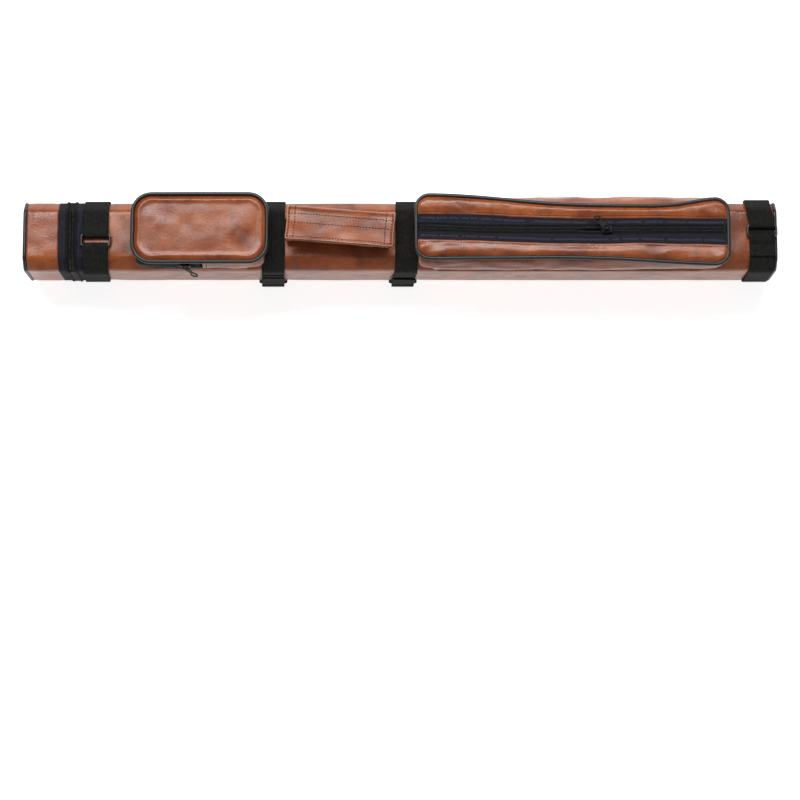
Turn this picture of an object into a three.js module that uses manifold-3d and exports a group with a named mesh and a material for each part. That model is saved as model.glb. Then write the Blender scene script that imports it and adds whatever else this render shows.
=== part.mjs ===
// Hard-sided cue case for two butts and two shafts, lying on its back with the pockets up.
// Units are millimetres. +X runs from the zipped lid to the base, +Z from the back to the pockets.
// The origin is on the surface the case lies on, under the middle of its length and width.
import * as THREE from 'three';
import { mergeVertices } from 'three/addons/utils/BufferGeometryUtils.js';
import Module from 'manifold-3d';

const wasm = await Module();
wasm.setup();

// ---------- driving dimensions ----------
const GAP = 0.3; // between pieces that lie on each other
const LENGTH = 840;
const WIDTH = 78;
const HEIGHT = 80;
const CHAMFER = 12; // leg of the four long bevels
const CREASE = 4; // radius where two faces of the section meet
const CREASE_STEPS = 2;
const UNDER = 9; // room under the case for the shoulder strap and its buckle

const COVER = 1.2; // leatherette
const SHELL = 2.5; // rigid tube
const LID_SHELL = 1.7;
const WEB = 1.5; // webbing
const TAPE = 1.0; // zip tape

const CENTRE_Z = UNDER + HEIGHT / 2;
const TOP = UNDER + HEIGHT;
const END = LENGTH / 2;

// stations along the length
const ZIP_X = -366; // lid zip, where lid and body part
const LID_TAPE_X = -380.5; // lid zip tape's sewn edge on the lid
const BODY_TAPE_X = -352.5; // and on the body
const BAND = 28; // webbing of the two end bands and the shoulder strap
const LID_BAND_X = BODY_TAPE_X + 0.2;
const END_PIPING = 2.2;
const BASE_PIPING = 1.6;
const BASE_BAND_X = END - 2 * BASE_PIPING - BAND - GAP;
const CINCH = 25.5; // webbing of the two middle straps
const CINCH_X = [-153.6, -5.2];
const CINCH_LEAN = [3.5, 4.5]; // how far each leans towards the lid at its ring
const TAIL_TOP = [52, 45]; // height to which each cinch tail is folded back up

// pockets: heights, then the outline on plan and how much shorter the gusset is at its foot
const POCKET_TOP = TOP + 28; // outer face of the front panels
const PANEL = 3; // padded front panel
const PANEL_Z = POCKET_TOP - PANEL;
const POCKET_WALL = 1.5;
const PIPING = 2.1;
const PIPING_Z0 = PANEL_Z + PANEL / 2 - PIPING;
const SMALL = { x0: -294, x1: -148, width: 80, corner: 24, foot: 0.904 };
const LONG = { x0: 18, x1: 363, width: 80, corner: 17, foot: 0.925 };
// the part of the long pocket's front that swings, up to where its zip is closed: two leather
// lips and their zip tapes
const LIP = { x0: 40, x1: 212, half: 32, tape: 14, slit: 0.2 };
const SMALL_SPLIT_X = -219.5; // where the small pocket's zip ends and its flap bends
const SMALL_CHAIN_Z = POCKET_TOP - 11;
const SMALL_TAPE = 9.5; // height of each of its two tapes

// cue bores
const BUTT = { bore: 31, y: 15.8, z: 16.3 };
const SHAFT = { bore: 22, y: 19.5, z: 20 };
const LINER = 1;
const ROUND = 20; // sides of a round bore
const MOUTH_X = ZIP_X - 8;
const COLLAR_X = ZIP_X - 10;
const BORE_END_X = END - 20;

// handle
const GRIP = { x0: -126.5, x1: -10.5, y: 4, width: 34, height: 13, z: TOP + 3 };
const GRIP_YAW = THREE.MathUtils.degToRad(-4.5);
const FLAP = 1.8;
const FLAP_LIFT = THREE.MathUtils.degToRad(16);

// shoulder strap
const STRAP_Z = 4.05; // middle of the strap where it passes over its adjuster
const TRIGLIDE = { x0: 53, x1: 80, width: 37, bar: 4, height: 3 };
const STRAP_RING = { x0: 356.5, x1: 375, width: 37.6, bar: 3, height: 1.9, z: 4.1 };

const MATERIALS = {
  leatherette: new THREE.MeshStandardMaterial({ color: 0x9a5632, roughness: 0.42 }),
  webbing: new THREE.MeshStandardMaterial({ color: 0x191a1b, roughness: 0.9 }),
  tape: new THREE.MeshStandardMaterial({ color: 0x1b1d28, roughness: 0.85 }),
  piping: new THREE.MeshStandardMaterial({ color: 0x2a2a2c, roughness: 0.45 }),
  board: new THREE.MeshStandardMaterial({ color: 0x2b2522, roughness: 0.8 }),
  foam: new THREE.MeshStandardMaterial({ color: 0x26282b, roughness: 0.95 }),
  liner: new THREE.MeshStandardMaterial({ color: 0x3a3d42, roughness: 0.9 }),
  metal: new THREE.MeshStandardMaterial({ color: 0x6e6e72, roughness: 0.3, metalness: 1 }),
  plastic: new THREE.MeshStandardMaterial({ color: 0x4a4c50, roughness: 0.5 }),
};

const model = new THREE.Group();

// ---------- solids ----------
function solid(geometry) {
  const flat = geometry.index ? geometry.toNonIndexed() : geometry;
  const bare = new THREE.BufferGeometry().setAttribute('position', flat.getAttribute('position'));
  const merged = mergeVertices(bare, 1e-4);
  return new wasm.Manifold(new wasm.Mesh({
    numProp: 3,
    vertProperties: merged.attributes.position.array,
    triVerts: new Uint32Array(merged.index.array),
  }));
}

function geometryOf(made) {
  const mesh = made.getMesh();
  return new THREE.BufferGeometry()
    .setAttribute('position', new THREE.BufferAttribute(new Float32Array(mesh.vertProperties), 3))
    .setIndex(new THREE.BufferAttribute(new Uint32Array(mesh.triVerts), 1));
}

function add(name, made, material, parent = model) {
  const geometry = made.isBufferGeometry ? made : geometryOf(made);
  const mesh = new THREE.Mesh(geometry, MATERIALS[material]);
  mesh.name = name;
  parent.add(mesh);
  return mesh;
}

// Outline u to +Y and v to +Z, extruded along +X.
const ALONG_X = new THREE.Matrix4().makeBasis(
  new THREE.Vector3(0, 1, 0), new THREE.Vector3(0, 0, 1), new THREE.Vector3(1, 0, 0));
// Outline u to +X and v to +Z, extruded along -Y.
const ALONG_Y = new THREE.Matrix4().makeBasis(
  new THREE.Vector3(1, 0, 0), new THREE.Vector3(0, 0, 1), new THREE.Vector3(0, -1, 0));

function prism(outline, holes, depth) {
  const shape = new THREE.Shape(outline);
  holes.forEach((hole) => shape.holes.push(new THREE.Path(hole)));
  return new THREE.ExtrudeGeometry(shape, { depth, bevelEnabled: false, steps: 1 });
}

const prismX = (outline, holes, x0, x1) =>
  solid(prism(outline, holes, x1 - x0).applyMatrix4(ALONG_X).translate(x0, 0, 0));
const prismY = (outline, holes, y0, y1) =>
  solid(prism(outline, holes, y1 - y0).applyMatrix4(ALONG_Y).translate(0, y1, 0));
const prismZ = (outline, holes, z0, z1) =>
  solid(prism(outline, holes, z1 - z0).translate(0, 0, z0));

function box(x0, x1, y0, y1, z0, z1) {
  const made = new THREE.BoxGeometry(x1 - x0, y1 - y0, z1 - z0);
  return solid(made.translate((x0 + x1) / 2, (y0 + y1) / 2, (z0 + z1) / 2));
}

const FAR = 1000;
const leftOf = (x) => box(-FAR, x, -FAR, FAR, -FAR, FAR);
const rightOf = (x) => box(x, FAR, -FAR, FAR, -FAR, FAR);

// ---------- outlines ----------
// The case's eight-sided section in (y, z), inset from the cover's outer face; negative goes out.
function section(inset) {
  const a = WIDTH / 2 - inset;
  const b = HEIGHT / 2 - inset;
  const c = CHAMFER - inset * (2 - Math.SQRT2);
  const corners = [[a, -b + c], [a, b - c], [a - c, b], [c - a, b], [-a, b - c], [-a, c - b],
    [c - a, -b], [a - c, -b]];
  const turn = Math.PI / 4;
  const radius = Math.max(CREASE - inset, 0.2);
  const points = [];
  corners.forEach(([y, z], i) => {
    const from = (i - 1) * turn; // direction the face before this corner looks in
    const middle = from + turn / 2;
    const reach = radius / Math.cos(turn / 2);
    for (let k = 0; k <= CREASE_STEPS; k++) {
      const angle = from + (turn * k) / CREASE_STEPS;
      points.push(new THREE.Vector2(
        y - reach * Math.cos(middle) + radius * Math.cos(angle),
        CENTRE_Z + z - reach * Math.sin(middle) + radius * Math.sin(angle)));
    }
  });
  return points;
}

function circle(y, z, radius, sides = ROUND) {
  return Array.from({ length: sides }, (_, i) => {
    const angle = (2 * Math.PI * (i + 0.5)) / sides;
    return new THREE.Vector2(y + radius * Math.cos(angle), z + radius * Math.sin(angle));
  });
}

function roundedRect(x0, x1, y0, y1, radius, steps = 4) {
  const points = [];
  const corners = [[x1 - radius, y0 + radius, -1], [x1 - radius, y1 - radius, 0],
    [x0 + radius, y1 - radius, 1], [x0 + radius, y0 + radius, 2]];
  corners.forEach(([x, y, quarter]) => {
    for (let k = 0; k <= steps; k++) {
      const angle = (quarter + k / steps) * Math.PI / 2;
      points.push(new THREE.Vector2(x + radius * Math.cos(angle), y + radius * Math.sin(angle)));
    }
  });
  return points;
}

const sectionRing = (outer, inner, x0, x1) => prismX(section(outer), [section(inner)], x0, x1);
const sectionSlab = (inset, x0, x1) => prismX(section(inset), [], x0, x1);

// A round cord bent round a closed outline. place(u, v, w) puts a point of the outline's plane,
// raised w from it, in the model.
function cordLoop(outline, radius, place, sides = 8) {
  const positions = [];
  const index = [];
  const count = outline.length;
  outline.forEach((point, i) => {
    const before = outline[(i + count - 1) % count];
    const after = outline[(i + 1) % count];
    const out = new THREE.Vector2(after.y - before.y, before.x - after.x).normalize();
    for (let k = 0; k < sides; k++) {
      const angle = (2 * Math.PI * k) / sides;
      const u = point.x + out.x * radius * Math.cos(angle);
      const v = point.y + out.y * radius * Math.cos(angle);
      positions.push(...place(u, v, radius * Math.sin(angle)));
      const here = i * sides;
      const next = ((i + 1) % count) * sides;
      const step = (k + 1) % sides;
      index.push(here + k, next + k, next + step, here + k, next + step, here + step);
    }
  });
  const geometry = new THREE.BufferGeometry().setIndex(index)
    .setAttribute('position', new THREE.Float32BufferAttribute(positions, 3));
  return solid(geometry);
}

// A strip of webbing seen from the side: its middle line in (x, z), given thickness.
function strip(line, thickness) {
  const points = line.map(([x, z]) => new THREE.Vector2(x, z));
  const side = (sign) => points.map((point, i) => {
    const before = points[Math.max(i - 1, 0)];
    const after = points[Math.min(i + 1, points.length - 1)];
    const along = after.clone().sub(before).normalize();
    return new THREE.Vector2(-along.y, along.x).multiplyScalar(sign * thickness / 2).add(point);
  });
  return [...side(-1), ...side(1).reverse()];
}

// ---------- body ----------
function caseBody() {
  const shellInset = COVER + GAP;
  const inside = shellInset + SHELL;
  const boardX = END - 5;
  const wall = sectionRing(shellInset, inside, ZIP_X + GAP, boardX);
  add('body_shell', wall.add(sectionSlab(inside - 1, boardX - 6, boardX)), 'board');
  const coverEnd = END - 2 * BASE_PIPING - GAP;
  add('body_cover', sectionRing(0, COVER, BODY_TAPE_X + GAP, coverEnd), 'leatherette');
  add('base_end_panel', sectionSlab(2 * BASE_PIPING + GAP, END - 2.2, END - 0.8), 'leatherette');
  const onBase = (u, v, w) => [END - BASE_PIPING + w, u, v];
  add('base_piping', cordLoop(section(BASE_PIPING), BASE_PIPING, onBase), 'piping');
}

function bores() {
  return [
    { name: 'butt_tube_upper', ...BUTT, y: -BUTT.y, z: CENTRE_Z + BUTT.z },
    { name: 'butt_tube_lower', ...BUTT, z: CENTRE_Z - BUTT.z },
    { name: 'shaft_tube_upper', ...SHAFT, z: CENTRE_Z + SHAFT.z },
    { name: 'shaft_tube_lower', ...SHAFT, y: -SHAFT.y, z: CENTRE_Z - SHAFT.z },
  ];
}

function cueTubes() {
  const inside = COVER + GAP + SHELL + GAP;
  const collarWall = 1.2;
  const holes = bores().map((b) => circle(b.y, b.z, b.bore / 2 + LINER + GAP));
  bores().forEach((b) => {
    const outer = circle(b.y, b.z, b.bore / 2 + LINER);
    const inner = circle(b.y, b.z, b.bore / 2);
    add(b.name, prismX(outer, [inner], MOUTH_X, BORE_END_X), 'liner');
  });
  add('mouth_collar', sectionRing(inside, inside + collarWall, COLLAR_X, ZIP_X + 20), 'board');
  const mouth = section(inside + collarWall + GAP);
  add('foam_core_mouth', prismX(mouth, holes, MOUTH_X, ZIP_X + 18), 'foam');
  const pad = sectionSlab(inside, BORE_END_X + GAP, BORE_END_X + 8);
  const base = prismX(section(inside), holes, BORE_END_X - 50, BORE_END_X + 2 * GAP);
  add('foam_core_base', base.add(pad), 'foam');
}

// ---------- lid ----------
function lid() {
  const shellInset = COVER + GAP;
  const endX = -END;
  const pipingEnd = endX + 2 * END_PIPING + GAP;
  const inside = shellInset + LID_SHELL;
  const boardX = endX + 2.4;
  const panelInset = 2 * END_PIPING + GAP;
  const wall = sectionRing(shellInset, inside, pipingEnd, ZIP_X - GAP);
  const end = sectionSlab(panelInset, boardX, pipingEnd + 2);
  add('lid_shell', wall.add(end).add(sectionSlab(inside - 1, pipingEnd, pipingEnd + 2)), 'board');
  add('lid_cover', sectionRing(0, COVER, pipingEnd, LID_TAPE_X - GAP), 'leatherette');
  const onLid = (u, v, w) => [endX + END_PIPING + w, u, v];
  add('lid_piping', cordLoop(section(END_PIPING - 0.6), END_PIPING, onLid), 'piping');
  add('lid_end_panel', sectionSlab(panelInset, endX + 0.8, boardX - GAP), 'leatherette');
  add('lid_pad', sectionSlab(inside + GAP, pipingEnd + 2 + GAP, pipingEnd + 10), 'foam');
}

function lidZip() {
  const back = UNDER - GAP - WEB;
  add('lid_zip_tape_lid', sectionRing(0, TAPE, LID_TAPE_X, ZIP_X - 0.15), 'tape');
  add('lid_zip_tape_body', sectionRing(0, TAPE, ZIP_X + 0.15, BODY_TAPE_X), 'tape');
  const half = BAND / 2;
  add('hinge_webbing_lid', box(-END + 8, ZIP_X - GAP, -half, half, back, back + WEB), 'webbing');
  const sewn = box(ZIP_X + GAP, LID_BAND_X - GAP, -half, half, back, back + WEB);
  add('hinge_webbing_body', sewn, 'webbing');
}

// ---------- zip sliders ----------
// A slider in its own frame: it travels along x, and its crown looks along +z.
function sliderSolid() {
  const plate = [[-6, -2.6], [-2, -4], [4, -4], [6, -3], [6, 3], [4, 4], [-2, 4], [-6, 2.6]];
  const outline = plate.map(([x, y]) => new THREE.Vector2(x, y));
  const bridge = box(-2.7, 2.7, -0.6, 0.6, 1.9, 5).subtract(box(-1.7, 1.7, -2, 2, 2, 4));
  return prismZ(outline, [], 0, 2).add(bridge);
}

// Its pull, lying along +x. The hinge is on the y axis, 3 mm above the slider's own origin.
function pullSolid(hooked) {
  const ring = { x: 15, outer: 4.3, hole: 2.4 };
  const arms = [[2.2, -3.6], [2.2, 3.6], [9, 2.6], [ring.x, 2.6], [ring.x, -2.6], [9, -2.6]];
  const blade = arms.map(([x, y]) => new THREE.Vector2(x, y));
  const half = 0.5;
  let pull = prismZ(blade, [], -half, half)
    .add(prismZ(circle(ring.x, 0, ring.outer, 16), [], -half, half))
    .subtract(prismZ(circle(ring.x, 0, ring.hole, 12), [], -2, 2));
  if (hooked) {
    const eye = box(-half, 4, -3.6, 3.6, -half, half);
    pull = pull.add(eye).subtract(box(half, 3.6, -2.6, 2.6, -2, 2));
  }
  return pull;
}

// at: where the slider stands; crown and travel are the directions its crown and its nose look in;
// twist and tilt turn the pull about the crown's direction and then away from the slider.
function zip(name, at, crown, travel, { twist, tilt, hooked }) {
  const across = new THREE.Vector3().crossVectors(crown, travel);
  const group = new THREE.Group();
  group.quaternion.setFromRotationMatrix(new THREE.Matrix4().makeBasis(travel, across, crown));
  group.position.copy(at);
  add(`${name}_slider`, sliderSolid(), 'metal', group);
  const hinge = new THREE.Group();
  hinge.position.set(0, 0, 3);
  hinge.rotation.order = 'ZYX';
  hinge.rotation.set(0, THREE.MathUtils.degToRad(-tilt), THREE.MathUtils.degToRad(twist));
  add(`${name}_pull`, pullSolid(hooked), 'metal', hinge);
  group.add(hinge);
  model.add(group);
}

const X = new THREE.Vector3(1, 0, 0);
const Y = new THREE.Vector3(0, 1, 0);
const Z = new THREE.Vector3(0, 0, 1);

function sliders() {
  const lidAt = new THREE.Vector3(ZIP_X, WIDTH / 2 + GAP, 38);
  zip('lid_zip', lidAt, Y, Z, { twist: 180, tilt: 0, hooked: true });
  const smallAt = new THREE.Vector3(-237, -SMALL.width / 2 + PIPING - GAP, SMALL_CHAIN_Z);
  zip('small_zip', smallAt, Y.clone().negate(), X, { twist: -50, tilt: 22, hooked: true });
  const longAt = new THREE.Vector3(228, 0, POCKET_TOP + GAP);
  zip('long_zip', longAt, Z, X.clone().negate(), { twist: -45, tilt: 0, hooked: true });
}

// ---------- pockets ----------
const outlineOf = (pocket, inset) => roundedRect(
  pocket.x0 + inset, pocket.x1 - inset, inset - pocket.width / 2, pocket.width / 2 - inset,
  Math.max(pocket.corner - inset, 1));

// A length of the gusset's wall between two heights, leaning out from its shorter foot.
function pocketWall(pocket, z0, z1) {
  const outline = outlineOf(pocket, PIPING);
  const hole = outlineOf(pocket, PIPING + POCKET_WALL);
  const geometry = prism(outline, [hole], z1 - z0).translate(0, 0, z0);
  const position = geometry.getAttribute('position');
  const middle = (pocket.x0 + pocket.x1) / 2;
  for (let i = 0; i < position.count; i++) {
    const below = Math.min((PIPING_Z0 - position.getZ(i)) / (PIPING_Z0 - TOP), 1.25);
    const scale = 1 - (1 - pocket.foot) * below;
    position.setX(i, middle + (position.getX(i) - middle) * scale);
  }
  return solid(geometry);
}

// The gusset stands on the cover, down over the two long bevels.
function gusset(pocket, z1) {
  return pocketWall(pocket, TOP - CHAMFER / 2, z1).subtract(sectionSlab(-GAP, -END, END));
}

function piping(pocket) {
  const onPanel = (u, v, w) => [u, v, PANEL_Z + PANEL / 2 + w];
  return cordLoop(outlineOf(pocket, PIPING), PIPING, onPanel);
}

const panelInset = 2 * PIPING + GAP;
const panel = (pocket) => prismZ(outlineOf(pocket, panelInset), [], PANEL_Z, POCKET_TOP);

function smallPocket() {
  const left = leftOf(SMALL_SPLIT_X - GAP / 2);
  const right = rightOf(SMALL_SPLIT_X + GAP / 2);
  const lowTape = SMALL_CHAIN_Z - SMALL_TAPE;
  const wallTop = PIPING_Z0 - GAP;
  const low = gusset(SMALL, lowTape - GAP);
  const high = pocketWall(SMALL, lowTape - GAP - 1, wallTop).intersect(right);
  add('small_pocket_gusset', low.add(high), 'leatherette');
  const tape = (z0, z1) => pocketWall(SMALL, z0, z1).intersect(left);
  add('small_zip_tape_lower', tape(lowTape, SMALL_CHAIN_Z - GAP / 2), 'tape');
  add('small_zip_tape_upper', tape(SMALL_CHAIN_Z + GAP / 2, wallTop), 'tape');
  add('small_pocket_front', panel(SMALL).intersect(right), 'leatherette');
  add('small_pocket_flap', panel(SMALL).intersect(left), 'leatherette');
  add('small_piping_front', piping(SMALL).intersect(right), 'piping');
  add('small_piping_flap', piping(SMALL).intersect(left), 'piping');
}

function longPocket() {
  const { x0, x1, half, tape, slit } = LIP;
  const z0 = PANEL_Z;
  add('long_pocket_gusset', gusset(LONG, PIPING_Z0 - GAP), 'leatherette');
  add('long_pocket_piping', piping(LONG), 'piping');
  const closedX = LONG.x1 - panelInset - 4;
  const opening = box(x0 - GAP, x1 + GAP, -half - GAP, half + GAP, z0 - 1, POCKET_TOP + 1);
  const closed = box(x1, closedX + GAP, -tape - GAP, tape + GAP, z0 - 1, POCKET_TOP + 1);
  add('long_pocket_front', panel(LONG).subtract(opening).subtract(closed), 'leatherette');
  const chain = box(x1 + GAP, closedX, -tape, tape, z0, POCKET_TOP);
  add('long_zip_tape_closed', chain, 'tape');
  add('long_lip_upper', box(x0, x1, tape + GAP, half, z0, POCKET_TOP), 'leatherette');
  add('long_lip_lower', box(x0, x1, -half, -tape - GAP, z0, POCKET_TOP), 'leatherette');
  add('long_zip_tape_upper', box(x0, x1, slit, tape, z0, POCKET_TOP), 'tape');
  add('long_zip_tape_lower', box(x0, x1, -tape, -slit, z0, POCKET_TOP), 'tape');
}

// ---------- webbing bands and cinch straps ----------
const WEB_IN = -GAP;
const WEB_OUT = WEB_IN - WEB;
const TAIL_IN = WEB_OUT - GAP;
const TAIL_OUT = TAIL_IN - WEB;

// A flat rectangular ring lying on the top of the case.
function ringOnTop(x0, x1, y, width, bar) {
  const z0 = TOP - WEB_OUT + GAP;
  const outline = roundedRect(x0, x1, y - width / 2, y + width / 2, 3, 3);
  const window = roundedRect(x0 + bar, x1 - bar, y - width / 2 + bar, y + width / 2 - bar, 1, 2);
  return prismZ(outline, [window], z0, z0 + 2.4);
}

// An end band with its ring at y, closed by a tail folded round to the side that side names.
function endBand(name, x0, y, side, tailFoot) {
  const ring = { width: 14, bar: 2.6, reach: 3.2 };
  const window = box(x0 - 1, x0 + BAND + 1, y - 2.6, y + 2.6, TOP, TOP + 5);
  const loop = sectionRing(WEB_OUT, WEB_IN, x0, x0 + BAND).subtract(window);
  add(`${name}_band`, loop, 'webbing');
  const x1 = Math.min(x0 + BAND + ring.reach, END);
  add(`${name}_band_ring`, ringOnTop(x0 - ring.reach, x1, y, ring.width, ring.bar), 'metal');
  const start = y + side * (ring.width / 2 + GAP);
  const [y0, y1] = side < 0 ? [-FAR, start] : [start, FAR];
  const tail = sectionRing(TAIL_OUT, TAIL_IN, x0, x0 + BAND)
    .intersect(box(-FAR, FAR, y0, y1, tailFoot, FAR));
  add(`${name}_band_tail`, tail, 'webbing');
}

// A middle strap: right round the case, with a ring at the lower front edge and a tail folded up.
function cinch(name, x0, tailTop, lean) {
  const tailFoot = 20;
  const reach = 3.2;
  const ring = { height: 10, bar: 2.4, depth: 2.4 };
  const side = WIDTH / 2 - TAIL_IN;
  add(`${name}_cinch`, sectionRing(WEB_OUT, WEB_IN, x0, x0 + CINCH), 'webbing');
  const outline = roundedRect(-reach, CINCH + reach, -ring.height / 2, ring.height / 2, 2.5, 2);
  const window = roundedRect(-reach + ring.bar, CINCH + reach - ring.bar,
    ring.bar - ring.height / 2, ring.height / 2 - ring.bar, 0.8, 1);
  const made = add(`${name}_cinch_ring`, prismZ(outline, [window], 0, ring.depth), 'metal');
  // it lies on the lower front bevel, so its face looks down and out at 45 degrees
  const bevel = CHAMFER / 2 - (WEB_OUT - GAP) / Math.SQRT2;
  const away = (ring.depth + 0) / Math.SQRT2;
  made.rotation.x = THREE.MathUtils.degToRad(-45);
  made.position.set(x0 - lean, -WIDTH / 2 + CHAMFER / 2 + (WEB_OUT - GAP) / Math.SQRT2 - away,
    UNDER + bevel + 2 * (WEB_OUT - GAP) / Math.SQRT2 - away);
  const tail = box(x0 - lean, x0 - lean + CINCH, -side - WEB, -side, tailFoot, tailTop);
  add(`${name}_cinch_tail`, tail, 'webbing');
}

// ---------- handle ----------
function handle() {
  const group = new THREE.Group();
  const middleX = (GRIP.x0 + GRIP.x1) / 2;
  const half = (GRIP.x1 - GRIP.x0) / 2;
  group.position.set(middleX, GRIP.y, 0);
  group.rotation.z = GRIP_YAW;
  const webZ = GRIP.z + GRIP.height / 2;
  const webHalf = 9;
  const foot = TOP + 1.2;
  const arch = [[0.6 - half, foot], [2 - half, foot + 5], [7 - half, webZ],
    [half - 7, webZ], [half - 1.5, foot + 5], [half + 1.6, foot]];
  const webbing = prismY(strip(arch, WEB + 0.5), [], -webHalf, webHalf);
  add('handle_webbing', webbing, 'webbing', group);
  const y1 = GRIP.width / 2;
  const wall = 2;
  const outer = roundedRect(-y1, y1, GRIP.z, GRIP.z + GRIP.height, 6, 3);
  const slot = roundedRect(-webHalf - 1, webHalf + 1, webZ - 2.5, webZ + 2.5, 1, 1);
  const grip = prismX(outer, [slot], -half + 6, half - 6);
  const ends = prismX(outer, [roundedRect(wall - y1, y1 - wall, GRIP.z + wall,
    GRIP.z + GRIP.height - wall, 4, 3)], -half, half);
  const hollow = box(-half - 1, half + 1, -webHalf - 1, webHalf + 1, GRIP.z - 3, webZ + 2.5)
    .subtract(box(6 - half, half - 6, -FAR, FAR, -FAR, FAR));
  add('handle_grip', grip.add(ends).subtract(hollow), 'leatherette', group);
  const hinge = new THREE.Group();
  hinge.position.set(0, y1 - 2, GRIP.z + GRIP.height + GAP);
  hinge.rotation.x = -FLAP_LIFT;
  const flap = box(-half, half, 2 - GRIP.width, 0, 0, FLAP);
  add('handle_flap', flap, 'leatherette', hinge);
  group.add(hinge);
  model.add(group);
}

// ---------- shoulder strap ----------
function shoulderStrap() {
  const half = BAND / 2;
  const sewnZ = UNDER + WEB_OUT - GAP - WEB / 2;
  const lying = WEB / 2;
  const barX = STRAP_RING.x0 + STRAP_RING.bar / 2;
  const barZ = STRAP_RING.z + STRAP_RING.height / 2;
  const turn = STRAP_RING.height / 2 + GAP + WEB / 2 + 0.6;
  const upper = STRAP_Z + WEB + GAP;
  const bend = [-60, -30, 0, 30, 60].map((degrees) => {
    const angle = THREE.MathUtils.degToRad(degrees);
    return [barX + turn * Math.cos(angle), barZ + turn * Math.sin(angle)];
  });
  const line = [[-348, sewnZ], [-322, sewnZ], [-306, 3.4], [-290, lying], [20, lying],
    [45, STRAP_Z], [340, STRAP_Z], [350, barZ - turn], [barX, barZ - turn], ...bend,
    [barX, barZ + turn], [350, barZ + turn], [340, upper], [70, upper]];
  add('shoulder_strap', prismY(strip(line, WEB), [], -half, half), 'webbing');

  const { x0, x1, width, bar, height } = TRIGLIDE;
  const mid = (x0 + x1) / 2;
  const windows = [[x0 + bar, mid - bar / 2], [mid + bar / 2, x1 - bar]].map(([from, to]) =>
    roundedRect(from, to, 4 - width / 2, width / 2 - 4, 1, 2));
  const frame = roundedRect(x0, x1, -width / 2, width / 2, 4, 3);
  const lowerBar = box(mid - bar, mid + bar, -width / 2 + 4, width / 2 - 4, -1, 1.6);
  const triglide = prismZ(frame, windows, 0, height).subtract(lowerBar);
  add('strap_triglide', triglide, 'plastic');

  const ringHalf = STRAP_RING.width / 2;
  const ring = roundedRect(STRAP_RING.x0, STRAP_RING.x1, -ringHalf, ringHalf, 3, 3);
  const window = roundedRect(STRAP_RING.x0 + STRAP_RING.bar, STRAP_RING.x1 - STRAP_RING.bar,
    STRAP_RING.bar - ringHalf, ringHalf - STRAP_RING.bar, 1, 2);
  const ringTop = STRAP_RING.z + STRAP_RING.height;
  add('strap_ring', prismZ(ring, [window], STRAP_RING.z, ringTop), 'metal');

  const tabX = STRAP_RING.x1 - STRAP_RING.bar / 2;
  const tabBend = [120, 150, 180, 210, 240].map((degrees) => {
    const angle = THREE.MathUtils.degToRad(degrees);
    return [tabX + turn * Math.cos(angle), barZ + turn * Math.sin(angle)];
  });
  const tab = [[BASE_BAND_X - GAP, barZ + turn], [tabX, barZ + turn], ...tabBend,
    [tabX, barZ - turn], [BASE_BAND_X - GAP, barZ - turn]];
  add('strap_ring_tab', prismY(strip(tab, WEB), [], -half, half), 'webbing');
}

caseBody();
cueTubes();
lid();
lidZip();
smallPocket();
longPocket();
sliders();
endBand('lid', LID_BAND_X, -7, -1, 69);
endBand('base', BASE_BAND_X, 3.5, 1, 66);
cinch('front', CINCH_X[0], TAIL_TOP[0], CINCH_LEAN[0]);
cinch('rear', CINCH_X[1], TAIL_TOP[1], CINCH_LEAN[1]);
handle();
shoulderStrap();

export default model;
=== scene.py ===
import math

import bmesh
import bpy
from mathutils import Matrix, Vector, noise


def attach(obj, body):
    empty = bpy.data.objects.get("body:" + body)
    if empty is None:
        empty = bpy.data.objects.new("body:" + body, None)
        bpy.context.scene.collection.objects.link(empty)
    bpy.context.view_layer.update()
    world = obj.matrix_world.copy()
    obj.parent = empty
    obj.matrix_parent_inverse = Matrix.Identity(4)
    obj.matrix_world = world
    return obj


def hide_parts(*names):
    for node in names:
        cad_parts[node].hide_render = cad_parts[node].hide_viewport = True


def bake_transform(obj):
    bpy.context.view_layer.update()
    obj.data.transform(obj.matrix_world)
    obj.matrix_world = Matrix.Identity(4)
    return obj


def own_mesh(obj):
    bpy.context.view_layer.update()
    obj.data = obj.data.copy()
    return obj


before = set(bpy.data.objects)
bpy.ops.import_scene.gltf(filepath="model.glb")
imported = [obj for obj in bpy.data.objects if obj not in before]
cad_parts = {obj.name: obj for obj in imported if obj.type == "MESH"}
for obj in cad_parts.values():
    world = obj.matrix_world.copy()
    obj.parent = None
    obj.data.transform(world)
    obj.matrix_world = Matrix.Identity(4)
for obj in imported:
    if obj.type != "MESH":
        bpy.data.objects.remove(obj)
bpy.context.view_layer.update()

# ---------------------------------------------------------------- driving dimensions, mm
MM = 0.001
END = 420.0
HALF_W = 39.0
HALF_H = 40.0
CHAMFER = 12.0
CREASE = 8.0
UNDER = 9.0
MID_Z = UNDER + HALF_H
TOP = UNDER + 2 * HALF_H

ZIP_X = -366.0
LID_TAPE_X = -380.5
BODY_TAPE_X = -352.5
BAND = 28.0
LID_BAND_X = -352.3
BASE_BAND_X = 388.5
CINCH = 25.5
CINCH_X = {"front": -153.6, "rear": -5.2}
CINCH_LEAN = {"front": 3.5, "rear": 4.5}
TAIL_TOP = {"front": 52.0, "rear": 45.0}
WEB = 1.5
WEB_OFF = 1.05  # middle of a strap that lies on the cover
TAIL_OFF = 2.95  # middle of a strap that lies on another

PANEL_Z = 114.6  # foot of the padded fronts, level with the middle of the piping
PIPE_R = 2.3
SPLIT_X = -219.5
SMALL_X = (-297.5, -144.6)
SMALL_SHIFT = 2.2  # how far the small pocket's front sits towards +y
LONG_X = (15.6, 364.5)
LONG_CORNER = 17.0

UP = Vector((0, 0, 1))


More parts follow.
